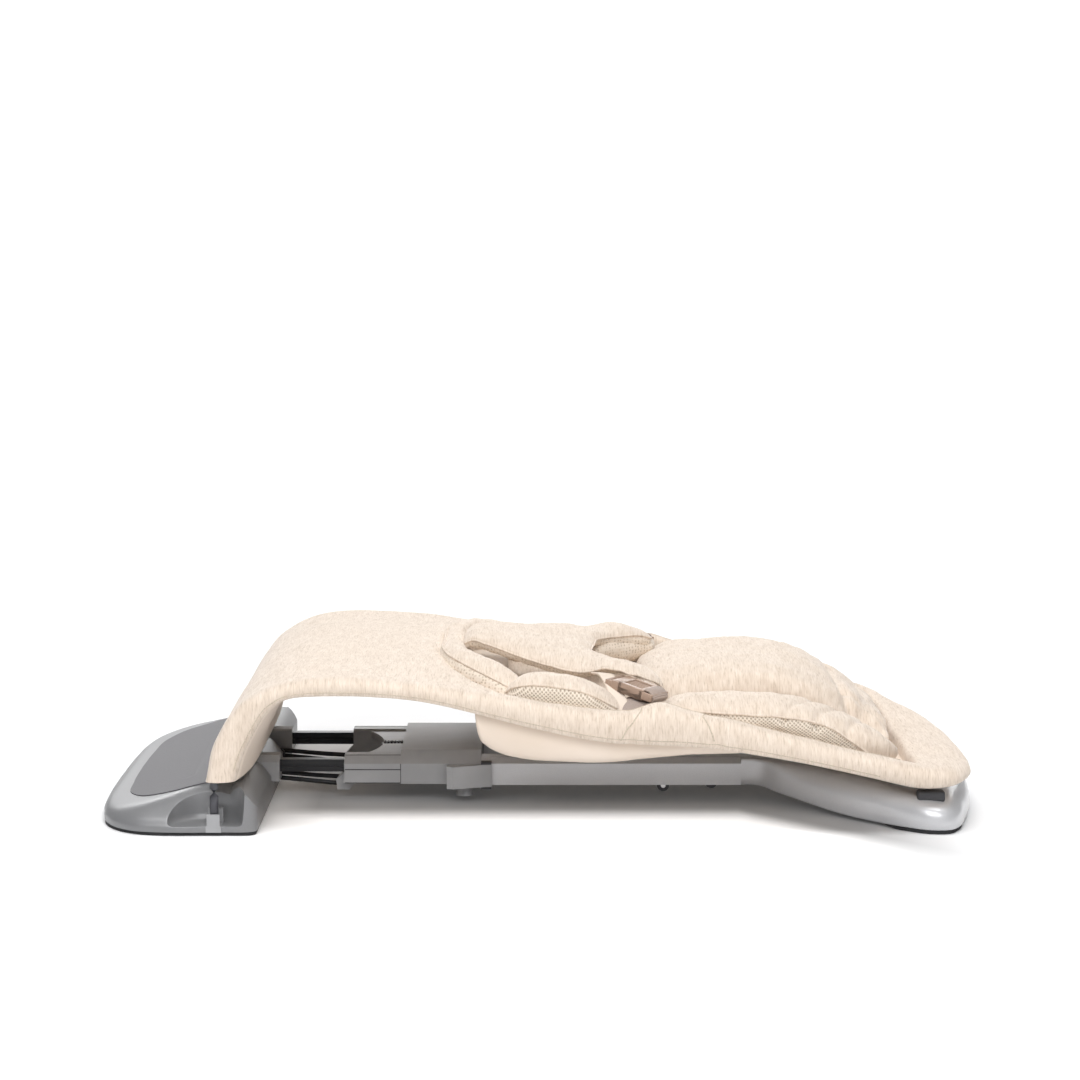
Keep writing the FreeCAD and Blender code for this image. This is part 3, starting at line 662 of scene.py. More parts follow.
def rear_base():
    half = smooth_path(loop_stations(), 70)
    other = half[::-1].copy()
    other[:, [1, 3]] *= -1
    stations = np.vstack([half, other[1:]])
    verts = []
    for xo, yo, xi, yi, low, high in stations:
        share = smoothstep(200, 262, xo)
        section = (1 - share) * np.array(RAIL_SECTION) + share * np.array(LOOP_SECTION)
        for across, up in section:
            verts.append((xo + (xi - xo) * across, yo + (yi - yo) * across, low + (high - low) * up))
    faces = capped_faces(len(stations), len(LOOP_SECTION))
    loop = new_mesh("rear_base_loop", verts, faces, [SILVER], "rear_frame", "silver_paint", 50)
    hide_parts("rear_loop")

    for side, suffix in SIDES:
        y0, y1 = sorted((side * 181, side * 194))
        stop = new_mesh("bumper_" + suffix, *box_verts(350, 376, y0, y1, 27, 38), [DARK], "rear_frame",
                        "dark_plastic")
        add_modifier(stop, "BEVEL", width=3 * MM, segments=3)
        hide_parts("seat_bumper_" + suffix)

    sole = []
    for xo, yo, xi, yi, *_ in stations:
        if xo < SOLE_START_X:
            continue
        base = SOLE_TOP_Z - SOLE_DEPTH * float(smoothstep(SOLE_START_X - 1, SOLE_START_X + 15, xo))
        inset = SOLE_INSET / math.hypot(xi - xo, yi - yo)
        half_ring = [(inset, SOLE_TOP_Z), (inset, base + 0.6), (inset * 1.3, base)]
        ring = []
        for share, z in half_ring + [(1 - share, z) for share, z in half_ring[::-1]]:
            ring.append((xo + (xi - xo) * share, yo + (yi - yo) * share, min(z, SOLE_TOP_Z)))
        sole.append(ring)
    pad = new_mesh("rear_base_sole", *skin(sole), [RUBBER], "rear_frame", "black_rubber", 40)
    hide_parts("loop_sole")


# ---------------------------------------------------------------- fabric cover
def rim_curves():
    """Top and bottom of the rim as smooth functions of one parameter, hem to head."""
    count = len(RIM_TOP)
    keys = np.arange(count)
    top = [profile(np.column_stack([keys, [p[k] for p in RIM_TOP]])) for k in (0, 1)]
    bottom = [profile(np.column_stack([keys, [p[k] for p in RIM_BOTTOM]])) for k in (0, 1)]
    return top, bottom


TOP_AT, BOTTOM_AT = rim_curves()
# The head end in plan: (outer x, outer y, inner x, inner y, top z, bottom z), near to far.
HEAD_STATIONS = [(362, -211, 350, -187, 62.5, 42), (384, -203, 353, -172, 61, 41.5),
                 (399, -178, 354, -152, 60, 42.5), (405, -140, 354, -122, 59.5, 43.5),
                 (406, -90, 354, -80, 59, 44), (405, -35, 354, -32, 58.5, 44), (402, 12, 354, 10, 58.5, 44),
                 (396, 62, 354, 52, 59, 44), (385, 108, 354, 95, 60, 44), (372, 150, 353, 134, 61, 43),
                 (360, 186, 350, 166, 62.5, 42)]
# Cross-section of the rim: share of the way in, share of the height.
RIM_SECTION = [(1.0, 0.30), (0.92, 0.10), (0.74, 0.0), (0.50, -0.02), (0.26, 0.02), (0.08, 0.13), (0.0, 0.30),
               (-0.03, 0.50), (0.0, 0.70), (0.08, 0.86), (0.24, 0.965), (0.48, 1.0), (0.75, 1.01), (1.0, 1.0)]
HIP_BULGE_X = 112.0
SEAM_XS = (83.0, 156.0)
OPEN_KEY = 4.78
SIDE_KEYS = np.linspace(0, len(RIM_TOP) - 1, 150)
PANEL_ROWS = int(np.searchsorted(SIDE_KEYS, OPEN_KEY))
PANEL_ACROSS = np.linspace(-1, 1, 41)


def rim_station(key, side):
    """Outer top, outer bottom and inward vector of the rim at one place along a side."""
    xt, zt = TOP_AT[0](key), TOP_AT[1](key)
    xb, zb = BOTTOM_AT[0](key), BOTTOM_AT[1](key)
    bulge = 7.0 * math.exp(-((xt - HIP_BULGE_X) / 20.0) ** 2)
    tuck = sum(math.exp(-((xt - x) / 3.2) ** 2) for x in SEAM_XS)
    y = side * (RIM_OUTER_Y - 1.2 - 2.2 * tuck)
    return (np.array([xt, y, zt + bulge - 1.2 * tuck]), np.array([xb, y, zb + 0.8 * tuck]),
            np.array([0, -side * (RIM_OUTER_Y - RIM_INNER_Y), 0]))


def fabric_swell(point, amount):
    """A slow deterministic unevenness, like stuffing under cloth."""
    return amount * noise.noise(Vector(point) * 0.018) + 0.35 * amount * noise.noise(Vector(point) * 0.06)


def cover():
    """The knit cover: a padded rim all round, the leg panel and the head end."""
    stations = [rim_station(key, -1) for key in SIDE_KEYS]
    for xo, yo, xi, yi, top, bottom in smooth_path(HEAD_STATIONS, 70):
        stations.append((np.array([xo, yo, top]), np.array([xo, yo, bottom]),
                         np.array([xi - xo, yi - yo, 0])))
    stations += [rim_station(key, 1) for key in SIDE_KEYS[::-1]]
    columns = len(RIM_SECTION)
    verts = []
    for top, bottom, inward in stations:
        for across, up in RIM_SECTION:
            point = bottom + (top - bottom) * up + inward * across
            point = point + np.array([0, 0, fabric_swell(point, 1.6)]) * (0.2 + 0.8 * min(up, 1))
            verts.append(point)
    faces = grid_faces(len(stations), columns)
    last = columns - 1

    # leg panel between the two sides, its last row curved round the seat's opening
    rows, across = PANEL_ROWS, PANEL_ACROSS
    panel = []
    for i in range(rows + 1):
        row = []
        for j, share in enumerate(across):
            if j == 0:
                row.append(i * columns + last)
                continue
            if j == len(across) - 1:
                row.append((len(stations) - 1 - i) * columns + last)
                continue
            pull = 0.62 * (1 - abs(share) ** 3.2) * (i / rows)
            key = SIDE_KEYS[i] - pull * smoothstep(2.5, OPEN_KEY, SIDE_KEYS[i])
            x, z = TOP_AT[0](key), TOP_AT[1](key)
            crown = (1.5 + 3.5 * smoothstep(3.0, OPEN_KEY, SIDE_KEYS[i])) * (1 - share ** 2)
            point = (x, share * RIM_INNER_Y, z + crown)
            row.append(len(verts))
            verts.append(np.array(point) + [0, 0, fabric_swell(point, 1.8)])
        panel.append(row)
    for i in range(rows):
        for j in range(len(across) - 1):
            faces.append((panel[i][j], panel[i][j + 1], panel[i + 1][j + 1], panel[i + 1][j]))

    # the edge of the opening turns down into the seat
    near_edge = [i * columns + last for i in range(rows, len(stations) - rows)]
    opening = near_edge + panel[rows][1:-1][::-1]
    centre = np.array([130.0, 0.0])
    ring = opening
    for inset, drop in ((2.5, 1.2), (4.5, 4.5), (5.5, 12.0), (5.5, 22.0)):
        new_ring = []
        for index in opening:
            point = np.array(verts[index])
            towards = centre - point[:2]
            if abs(point[1]) > 150 and point[0] < 330:
                towards = np.array([0, -point[1]])
            towards = towards / np.linalg.norm(towards)
            new_ring.append(len(verts))
            verts.append(np.array([*(point[:2] + towards * inset), point[2] - drop]))
        count = len(ring)
        for k in range(count):
            faces.append((ring[k], ring[(k + 1) % count], new_ring[(k + 1) % count], new_ring[k]))
        ring = new_ring
    fabric = new_mesh("seat_cover_knit", verts, faces, [KNIT], "seat", "knit_fabric")
    add_modifier(fabric, "SUBSURF", levels=1, render_levels=1)
    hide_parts("rim_cover_near", "rim_cover_far", "leg_panel", "head_cover")


def leg_lining():
    """The plain lining under the leg panel, joined to the hem."""
    across = PANEL_ACROSS
    lining_rows = []
    for key in SIDE_KEYS[:PANEL_ROWS + 1]:
        t = np.array([TOP_AT[0](key), TOP_AT[1](key)])
        b = np.array([BOTTOM_AT[0](key), BOTTOM_AT[1](key)])
        x, z = b + (t - b) * (0.03 + 0.45 * smoothstep(3.2, OPEN_KEY, key))
        low_part = 1 - smoothstep(1.2, 3.4, key)
        lining_rows.append([(x + 11 * (1 - abs(share) ** 5) * low_part, share * (RIM_INNER_Y + 12),
                             z + 2.0 * (1 - share ** 2) * (1 - low_part)) for share in across])
    hem_outer = float(TOP_AT[0](0)) + 1.0
    hem_inner = float(BOTTOM_AT[0](0))
    for step in (0.04, 0.35, 0.7, 0.94):
        x = hem_inner + (hem_outer - hem_inner) * step
        lining_rows.insert(0, [(x + 11 * (1 - abs(share) ** 5) * (1 - step), share * (RIM_INNER_Y + 12),
                                50 - 1.5 * math.sin(math.pi * step)) for share in across])
    lining_verts = [point for row in lining_rows for point in row]
    lining = new_mesh("leg_lining", lining_verts, grid_faces(len(lining_rows), len(across)), [PLAIN], "seat",
                      "plain_fabric")
    add_modifier(lining, "SOLIDIFY", thickness=1.2 * MM, offset=0)


def head_floor():
    """The plain underside of the head end, between the rims."""
    verts = []
    rows = np.linspace(176, 366, 40)
    under = profile([(176, 76), (200, 73), (240, 69), (300, 56), (344, 46.5), (366, 45)])
    half = profile([(180, 193), (330, 193), (352, 188), (366, 176)])
    across = np.linspace(-1, 1, 31)
    for x in rows:
        for share in across:
            verts.append((x, share * half(x), under(x) + 2.0 * abs(share) ** 4))
    floor = new_mesh("head_underside", verts, grid_faces(len(rows), len(across)), [PLAIN], "seat",
                     "plain_fabric")
    add_modifier(floor, "SOLIDIFY", thickness=1.2 * MM, offset=0)


def sling():
    """The plain cloth that hangs below the rim under the baby's seat."""
    top_line = profile([(-62, 113), (-20, 108), (60, 92), (147, 88), (186, 83)])
    low_line = profile([(-60, 112), (-59, 98), (-56.5, 86), (-50, 77), (-38, 69.5), (-12, 63.5), (25, 60.8),
                        (60, 61), (98, 64.5), (135, 68.5), (165, 70), (186, 71.5)])
    section = [(1.0, 1.0), (1.004, 0.72), (1.0, 0.44), (0.988, 0.22), (0.955, 0.08), (0.90, 0.015),
               (0.80, -0.01), (0.60, -0.02), (0.30, -0.025), (0.0, -0.025)]
    full = section + [(-across, up) for across, up in section[-2::-1]]
    xs = np.concatenate([np.linspace(-60, -38, 14), np.linspace(-36, 186, 60)])
    verts = []
    for x in xs:
        low, high = low_line(x), top_line(x)
        for across, up in full:
            point = (x, -190.5 * across, low + (high - low) * up)
            verts.append(np.array(point) + [0, 0, fabric_swell(point, 1.0)])
    cloth = new_mesh("seat_sling", verts, grid_faces(len(xs), len(full)), [PLAIN], "seat", "plain_fabric")
    add_modifier(cloth, "SOLIDIFY", thickness=1.5 * MM, offset=0)
    add_modifier(cloth, "SUBSURF", levels=1, render_levels=1)
    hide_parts("sling")


# ---------------------------------------------------------------- padded insert
PAD_PRESSURE = 4.0
PAD_FRAMES = 20


def section_ring(centre, side, up, half_width, half_height, count, square):
    """A rounded-square ring of points."""
    ring = []
    for k in range(count):
        a = 2 * math.pi * k / count
        c, s = math.cos(a), math.sin(a)
        u = math.copysign(abs(c) ** (2 / square), c)
        v = math.copysign(abs(s) ** (2 / square), s)
        ring.append(centre + side * (half_width * u) + up * (half_height * v))
    return ring


def plump(obj, voxel, cap):
    """Swells a pad by cloth pressure, with each point's travel capped."""
    add_modifier(obj, "REMESH", mode="VOXEL", voxel_size=voxel * MM, use_smooth_shade=True)
    bake_modifiers(obj)
    mesh = obj.data
    rest = np.array([v.co for v in mesh.vertices])
    cloth = obj.modifiers.new("Cloth", "CLOTH")
    cloth.settings.quality = 5
    cloth.settings.mass = 0.15
    cloth.settings.tension_stiffness = 12
    cloth.settings.compression_stiffness = 12
    cloth.settings.shear_stiffness = 6
    cloth.settings.bending_stiffness = 0.4
    cloth.settings.use_pressure = True
    cloth.settings.uniform_pressure_force = PAD_PRESSURE
    cloth.settings.effector_weights.gravity = 0
    cloth.collision_settings.use_collision = False
    scene = bpy.context.scene
    for number in range(1, PAD_FRAMES + 1):
        scene.frame_set(number)
    bake_modifiers(obj)
    scene.frame_set(1)
    swollen = np.array([v.co for v in obj.data.vertices])
    move = swollen - rest
    length = np.linalg.norm(move, axis=1, keepdims=True)
    limit = cap * MM
    scale = limit * np.tanh(length / limit) / np.maximum(length, 1e-9)
    obj.data.vertices.foreach_set("co", (rest + move * scale).astype(np.float32).ravel())
    obj.data.update()


def shape_pad(obj, change):
    """Moves each vertex by change(x, y, z, normal), all in millimetres."""
    obj.data.update()
    normals = [v.normal.copy() for v in obj.data.vertices]
    for vertex, normal in zip(obj.data.vertices, normals):
        vertex.co += Vector(change(*(vertex.co / MM), normal)) * MM
    obj.data.update()


def valley(distance, width, depth):
    """Depth of a sewn line at a distance from it."""
    return depth * math.exp(-(distance / width) ** 2)


def make_pad(name, verts, faces, voxel, cap, nodes, shape, mesh_side=None, mesh=None):
    """One padded piece: swell it, sew its lines, sort its two cloths."""
    pad = new_mesh(name, verts, faces, [KNIT], "seat", "knit_fabric")
    pad.parent = None
    plump(pad, voxel, cap)
    add_modifier(pad, "SUBSURF", levels=1, render_levels=1)
    bake_modifiers(pad)
    shape_pad(pad, shape)
    pad.data.materials.clear()
    pad.data.materials.append(KNIT)
    pad.data.materials.append(mesh or AIR_MESH)
    for face in pad.data.polygons:
        face.material_index = int(bool(mesh_side and mesh_side(*(face.center / MM))))
    pad.data.shade_smooth()
    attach(pad, "seat")
    if nodes:
        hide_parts(*nodes)
    return pad


def piping(name, pad, route, radius, count):
    """A corded seam laid on the nearest surface of a pad."""
    graph = bpy.context.evaluated_depsgraph_get()
    tree = BVHTree.FromObject(pad, graph)
    points = []
    for point in smooth_path(route, count):
        place, normal, _, _ = tree.find_nearest(Vector(point) * MM)
        points.append(place / MM + normal * (radius * 0.35))
    points = np.array(points)
    for _ in range(2):
        points[1:-1] = (points[:-2] + 2 * points[1:-1] + points[2:]) / 4
    tube(name, points, radius, KNIT, "seat", "knit_fabric")


def unevenness(point, broad, fine):
    where = Vector(point)
    return broad * noise.noise(where * 0.024) + fine * noise.noise(where * 0.085)


NO_FALL = (900, 901)
# Cross-section of a side bolster: share outward (-1 inner, 1 outer), share of height.
BOLSTER_SECTION = [(-0.80, 0.0), (-0.98, 0.2), (-1.0, 0.55), (-0.92, 0.84), (-0.72, 0.97), (-0.40, 1.03),
                   (0.0, 1.05), (0.38, 1.02), (0.70, 0.95), (0.88, 0.86), (0.97, 0.72), (1.0, 0.5),
                   (1.0, 0.2), (0.9, 0.0), (0.4, -0.04), (-0.3, -0.04)]


def bolster(name, side, stations, nodes, cap, shape, mesh_until=None, seam_at=(1.1, 0.82), fall=NO_FALL,
            mesh=None):
    """A bolster whose outer wall is mesh below a piped seam; stations are
    (x, |y|, half width, bottom z, top z) along its middle line."""
    path = smooth_path(stations, 6 * len(stations))
    tangents = np.gradient(path[:, :2], axis=0)
    tangents /= np.linalg.norm(tangents, axis=1, keepdims=True)
    outward = np.column_stack([-tangents[:, 1], tangents[:, 0]])
    rings, seam = [], []
    for k, (x, y, half, low, high) in enumerate(path):
        share = 2 * k / (len(path) - 1) - 1
        end = max(math.sqrt(max(0.0, 1 - abs(share) ** 9)), 0.3)
        middle = (low + high) / 2
        ring = []
        for across, up in BOLSTER_SECTION:
            out = half * end * across
            z = middle + (up - 0.5) * (high - low) * end
            ring.append((x + outward[k, 0] * out, side * (y + outward[k, 1] * out), z))
        rings.append(ring)
        reach = half * seam_at[0]
        share_up = seam_at[1] * (1 - 0.9 * smoothstep(*fall, x))
        seam.append((x + outward[k, 0] * reach, side * (y + outward[k, 1] * reach),
                     low + (high - low) * share_up))
    verts, faces = skin(rings)
    middle_line = np.column_stack([path[:, 0], side * path[:, 1]])

    def mesh_side(x, y, z):
        nearest = int(np.argmin((middle_line[:, 0] - x) ** 2 + (middle_line[:, 1] - y) ** 2))
        dx, dy = x - path[nearest, 0], side * y - path[nearest, 1]
        offset = dx * outward[nearest, 0] + dy * outward[nearest, 1]
        return (z < seam[nearest][2] - 2.5 and offset > path[nearest, 2] * 0.5
                and (mesh_until is None or x < mesh_until))

    pad = make_pad(name, verts, faces, 4.5, cap, nodes, shape, mesh_side, mesh)
    piping(name + "_piping", pad, seam[2:-3], 1.3, 70)


def back_pad():
    top = profile([(96, 116), (108, 124), (130, 130), (160, 134), (195, 137), (228, 135), (259, 127),
                   (289, 109), (315, 91), (346, 68)])
    low = profile([(96, 80), (186, 80), (240, 73), (346, 54)])
    section = [(1.0, 0.0), (1.03, 0.35), (1.0, 0.62), (0.90, 0.80), (0.70, 0.92), (0.40, 0.985), (0, 1.0)]
    section = section + [(-a, b) for a, b in section[-2::-1]]
    rings = []
    for x in np.linspace(96, 344, 34):
        half = 106 - 14 * smoothstep(255, 344, x) - 16 * (1 - smoothstep(94, 128, x))
        rings.append([(x, half * across, low(x) + (top(x) - low(x)) * up) for across, up in section])

    def shape(x, y, z, normal):
        if normal.z < -0.3:
            return (0, 0, 0)
        pull = valley(abs(x - 290 - 0.0012 * y * y), 6, 5.0)
        pull += valley(abs(abs(y) - 58 - 0.25 * (x - 290)), 5, 3.5) * smoothstep(284, 296, x)
        pull += valley(abs(x - 322 + 0.0016 * y * y), 6, 3.0)
        return normal * (unevenness((x, y, z), 2.4, 0.9) - pull)

    verts, faces = skin(rings)
    make_pad("insert_back", verts, faces, 5.0, 7.0, ["back_pad"], shape)


def seat_floor():
    """The hollow of the insert, tucked under the pads all round."""
    line = profile([(-92, 138), (-74, 126), (-50, 108), (-20, 97), (30, 93), (75, 95), (112, 104)])
    xs = np.linspace(-92, 112, 44)
    across = np.linspace(-1, 1, 41)
    layers = []
    for drop in (0, 7):
        for x in xs:
            for share in across:
                front = 1 - smoothstep(-92, -20, x)
                y = share * (158 - 52 * front)
                crease = 2.4 * valley(abs(x + 12 + 0.10 * abs(y)), 5, 1.0)
                crease += 2.0 * valley(abs(x - 46 + 0.18 * abs(y)), 5, 1.0)
                lift = 20 * (1 - front) * abs(share) ** 3
                z = line(x) + lift - crease + unevenness((x, y, 0), 3.0, 1.6) - drop
                layers.append((x, y, z))
    seat = new_mesh("insert_seat", layers, slab_faces(len(xs), len(across)), [KNIT], "seat", "knit_fabric")
    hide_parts("seat_pad")


def insert():
    back_pad()
    seat_floor()
    arm = [(-85, 30, 13, 118, 152), (-83, 62, 14, 115, 153), (-74, 90, 17, 110, 152),
           (-58, 114, 20, 104, 149), (-37, 134, 22, 98, 142), (-14, 146, 23, 94, 131), (6, 152, 20, 92, 120)]
    across = [(x, -y, *rest) for x, y, *rest in arm[::-1]] + [(-85, 0, 13, 119, 151)] + arm

    def gathered(x, y, z, normal):
        return normal * (unevenness((x, y, z), 1.8, 0.8) - valley(abs(y + 12) - 0.1 * (x + 80), 3.5, 1.2))

    bolster("front_roll", 1, across, [], 3.0, gathered, seam_at=(0.84, 0.93), mesh=FINE_MESH)
    for side, suffix in SIDES:
        def soft(x, y, z, normal):
            return normal * unevenness((x, y, z), 1.6, 0.7)

        def tufted(x, y, z, normal, side=side):
            pull = 0.0
            if normal.z > 0.1:
                for x0, lean, depth in ((246, -0.55, 2.6), (272, -0.5, 3.2), (300, -0.45, 3.0)):
                    gap = x - x0 - lean * (side * y - 150)
                    pull += valley(gap, 4.0, depth) * smoothstep(108, 128, side * y)
            return normal * (unevenness((x, y, z), 2.0, 0.9) - pull)

        low = 3.0 * (side > 0)
        thigh = [(-36, 147, 20, 96, 128), (-14, 152, 27, 92, 139 - low), (14, 155, 29, 90, 140 - low),
                 (42, 157, 28, 90, 134), (64, 159, 24, 90, 123), (84, 161, 17, 90, 110)]
        bolster("thigh_roll_" + suffix, side, thigh, ["leg_bolster_" + suffix], 3.5, soft,
                seam_at=(0.92, 0.93))
        head = [(104, 150, 24, 84, 108), (125, 149, 32, 80, 117), (160, 148, 36, 78, 119),
                (205, 148, 37, 76, 118), (240, 147, 37, 72, 114), (272, 146, 36, 66, 105),
                (300, 144, 33, 60, 94), (322, 141, 28, 56, 82), (338, 137, 21, 54, 72)]
        bolster("head_roll_" + suffix, side, head, ["head_bolster_" + suffix], 3.5, tufted, 330,
                fall=(262, 326))


def crotch():
    """The T-shaped pad between the legs: a stem and two wings that reach for the buckles."""
    near_edge = profile([(-79, 27), (-42, 56), (3, 84), (36, 102), (58, 115), (76, 129), (98, 134),
                         (118, 128)])
    far_edge = profile([(-79, 27), (-42, 55), (3, 80), (36, 97), (58, 108), (80, 116), (98, 117), (118, 108)])
    middle = profile([(-79, 148), (-70, 154), (-55, 154), (-20, 150), (20, 145), (60, 140), (90, 136),
                      (118, 125)])

    def top_z(x, y):
        share = abs(y) / (near_edge(x) if y < 0 else far_edge(x))
        sag = 7.0 - 5.5 * smoothstep(30, 66, x) if y < 0 else 2.0
        droop = share ** 2.6 * smoothstep(-70, 10, x) * sag
        lobe = 5.0 * smoothstep(58, 92, y) * smoothstep(48, 70, x) * (1 - smoothstep(108, 128, x))
        lobe += 6.5 * smoothstep(66, 112, -y) * smoothstep(38, 68, x) * (1 - 0.7 * smoothstep(108, 120, x))
        saddle = 2.5 * smoothstep(-90, -40, x) * (1 - share ** 2)
        return middle(x) + 0.035 * y - droop + lobe + saddle

    def notch_end(share):
        wing = (66 if share < 0 else 54) * float(smoothstep(0.24, 0.88, abs(share)))
        return 56 + 10 * min(max(share, -0.4), 0.4) + wing

    rows = np.linspace(0, 1, 44)
    across = np.linspace(-1, 1, 49)
    upper, lower = [], []
    for t in rows:
        for share in across:
            end = notch_end(share)
            x = -79 + t * (end + 79)
            y = share * float(near_edge(x) if share < 0 else far_edge(x))
            z = top_z(x, y)
            edge = 1 - max(abs(share) ** 14, abs(2 * t - 1) ** 24)
            thick = 9.0 + 5.0 * smoothstep(40, 84, y) * smoothstep(40, 66, x)
            thick -= 5.0 * smoothstep(92, 112, -y) * smoothstep(40, 66, x)
            rise = 2.6 * max(edge, 0.0) ** 0.5
            upper.append((x, y, z + rise))
            lower.append((x, y * 0.985, z - thick * (0.35 + 0.65 * max(edge, 0.0) ** 0.5)))
    faces = slab_faces(len(rows), len(across))

    def shape(x, y, z, normal):
        return normal * unevenness((x, y, z), 1.6, 0.8)

    def mesh_side(x, y, z):
        reach = min(max(x, -79), 118)
        return z < float(top_z(reach, y)) - 2.0

    pad = make_pad("crotch_pad_knit", upper + lower, faces, 3.5, 2.5, ["crotch_pad"], shape, mesh_side,
                   FINE_MESH)
    for (side, suffix), limit in zip(SIDES, (near_edge, far_edge)):
        xs = np.linspace(-76, 114, 40)
        cord = [(x, side * (float(limit(x)) + 1), float(top_z(x, side * float(limit(x)))) - 0.5) for x in xs]
        piping("crotch_piping_" + suffix, pad, cord, 1.1, 90)
    notch = []
    for share in np.linspace(-0.86, 0.86, 40):
        end = notch_end(share)
        y = share * float(near_edge(end) if share < 0 else far_edge(end))
        notch.append((end, y, float(top_z(end, y)) - 0.5))
    piping("crotch_piping_notch", pad, notch, 1.1, 90)

    top = profile([(50, 128), (57, 136), (68, 140.5), (86, 141), (105, 137), (118, 129)])
    low = profile([(50, 122), (57, 119), (68, 116.5), (86, 111.5), (105, 112.5), (118, 119)])
    rings = []
    for x in np.linspace(50, 118, 26):
        centre = Vector((x, 50 + 0.95 * (x - 50), (top(x) + low(x)) / 2))
        rings.append(section_ring(centre, Vector((0, 1, 0)), Vector((0, 0, 1)), 22, (top(x) - low(x)) / 2, 24,
                                  2.2))
    verts, faces = skin(rings)
    make_pad("crotch_far_side", verts, faces, 3.5, 1.5, [], shape, lambda x, y, z: True, FINE_MESH)


# ---------------------------------------------------------------- harness
BUCKLE_PLACE = (Matrix.Translation(Vector((88, -146, 127))) @ Matrix.Rotation(math.radians(-38), 4, "Z")
                @ Matrix.Rotation(math.radians(11), 4, "Y"))


def buckle_piece(name, boxes, edge, body, replaces):
    """Rounded bars in the buckle's own frame, placed on the near hip and mirrored to the far one."""
    verts, faces = joined_boxes(boxes)
    verts = [BUCKLE_PLACE @ Vector(v) for v in verts]
    near = new_mesh(name + "_near", verts, faces, [BUCKLE], "seat", "buckle_plastic", 40)
    near.parent = None
    add_modifier(near, "BEVEL", width=edge * MM, segments=3, limit_method="ANGLE",
                 angle_limit=math.radians(30))
    bake_modifiers(near)
    near.data.shade_smooth()
    near.data.set_sharp_from_angle(angle=math.radians(40))
    far = mirror_copy(near, name + "_far")
    for obj, suffix in ((near, "_near"), (far, "_far")):
        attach(obj, body + suffix if body == "buckle" else body)
        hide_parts(replaces + suffix)


RIBBON_STEPS = 30


def ribbon(name, route, width_vector, thickness, material, slot, body="seat", replaces=None):
    """A flat strap along a route, on the near side and mirrored to the far side."""
    path = smooth_path(route, RIBBON_STEPS)
    tangents = np.gradient(path, axis=0)
    verts = []
    half = Vector(width_vector) / 2
    edge = thickness * 0.5
    for point, tangent in zip(path, tangents):
        normal = half.cross(Vector(tangent)).normalized() * edge
        p = Vector(point)
        for across, up in ((-1, 0.4), (-0.94, 1), (0, 1.1), (0.94, 1), (1, 0.4), (1, -0.4), (0.94, -1),
                           (0, -1.1), (-0.94, -1), (-1, -0.4)):
            verts.append(p + half * across + normal * up)
    near = new_mesh(name + "_near", verts, capped_faces(RIBBON_STEPS, 10), [material], "seat", slot, 50)
    near.parent = None
    far = mirror_copy(near, name + "_far")
    for obj, suffix in ((near, "_near"), (far, "_far")):
        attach(obj, body + suffix if body == "buckle" else body)
        if replaces:
            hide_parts(replaces + suffix)


def harness():
    h = 13.6
    socket = [(-9, 20, -h, h, -5.2, 1.4), (-9, -4.5, -h, h, -5.2, 5.2), (15, 20, -h, h, -5.2, 5.0),
              (-9, 20, -h, -h + 4.6, -5.2, 5.2), (-9, 20, h - 4.6, h, -5.2, 5.2),
              (26.5, 30.5, -h, h, -3.6, 3.6), (18, 28, -h, -h + 3.4, -3.8, 3.8),
              (18, 28, h - 3.4, h, -3.8, 3.8)]
    socket += [(-5, 16, y, y + 1.9, 0.0, 4.2) for y in (-7.6, -4.3, -1.0, 2.3, 5.6)]
    buckle_piece("buckle_socket_shell", socket, 1.3, "buckle", "buckle_socket")
    tongue = [(-24, -20.5, -h, h, -3.2, 3.2), (-20.6, -17, -h, -h + 3.2, -3.2, 3.2),
              (-20.6, -17, h - 3.2, h, -3.2, 3.2), (-17.2, -8.6, -h, h, -4.4, 4.4),
              (-9, 8, -h + 3.6, -h + 7, -1.3, 1.3), (-9, 8, h - 7, h - 3.6, -1.3, 1.3),
              (-9, 10, -2.2, 2.2, -1.3, 1.3)]
    buckle_piece("buckle_tongue_bar", tongue, 0.8, "seat", "buckle_tongue")

    along = BUCKLE_PLACE.to_3x3() @ Vector((1, 0, 0))
    across = BUCKLE_PLACE.to_3x3() @ Vector((0, 1, 0))
    tab_route = [(56, -112, 134), (62, -124, 135), (68, -139, 129), (72, -154, 121), (75, -167, 114),
                 (76, -178, 107)]
    ribbon("hip_tab", tab_route, Vector((15, 4, -2)), 2.2, PLAIN, "plain_fabric", replaces="strap_tab")

    bar = BUCKLE_PLACE @ Vector((24, 0, 0))
    under = [bar + along * step + Vector((0, 0, rise))
             for step, rise in ((-3, 5.6), (3, 5.0), (7.6, -0.5), (1, -6.8), (-12, -8.4), (-24, -8.6))]
    ribbon("hip_webbing_loop", under, across * 23, 1.7, WEBBING, "webbing", body="buckle")
    rim_end = [(101, -146, 116), (96, -156, 116), (92, -168, 115), (89, -180, 113.5), (87, -190, 110),
               (86, -196, 103)]
    ribbon("hip_webbing", rim_end, Vector((23, 1, -4)), 1.7, WEBBING, "webbing", replaces="hip_strap")


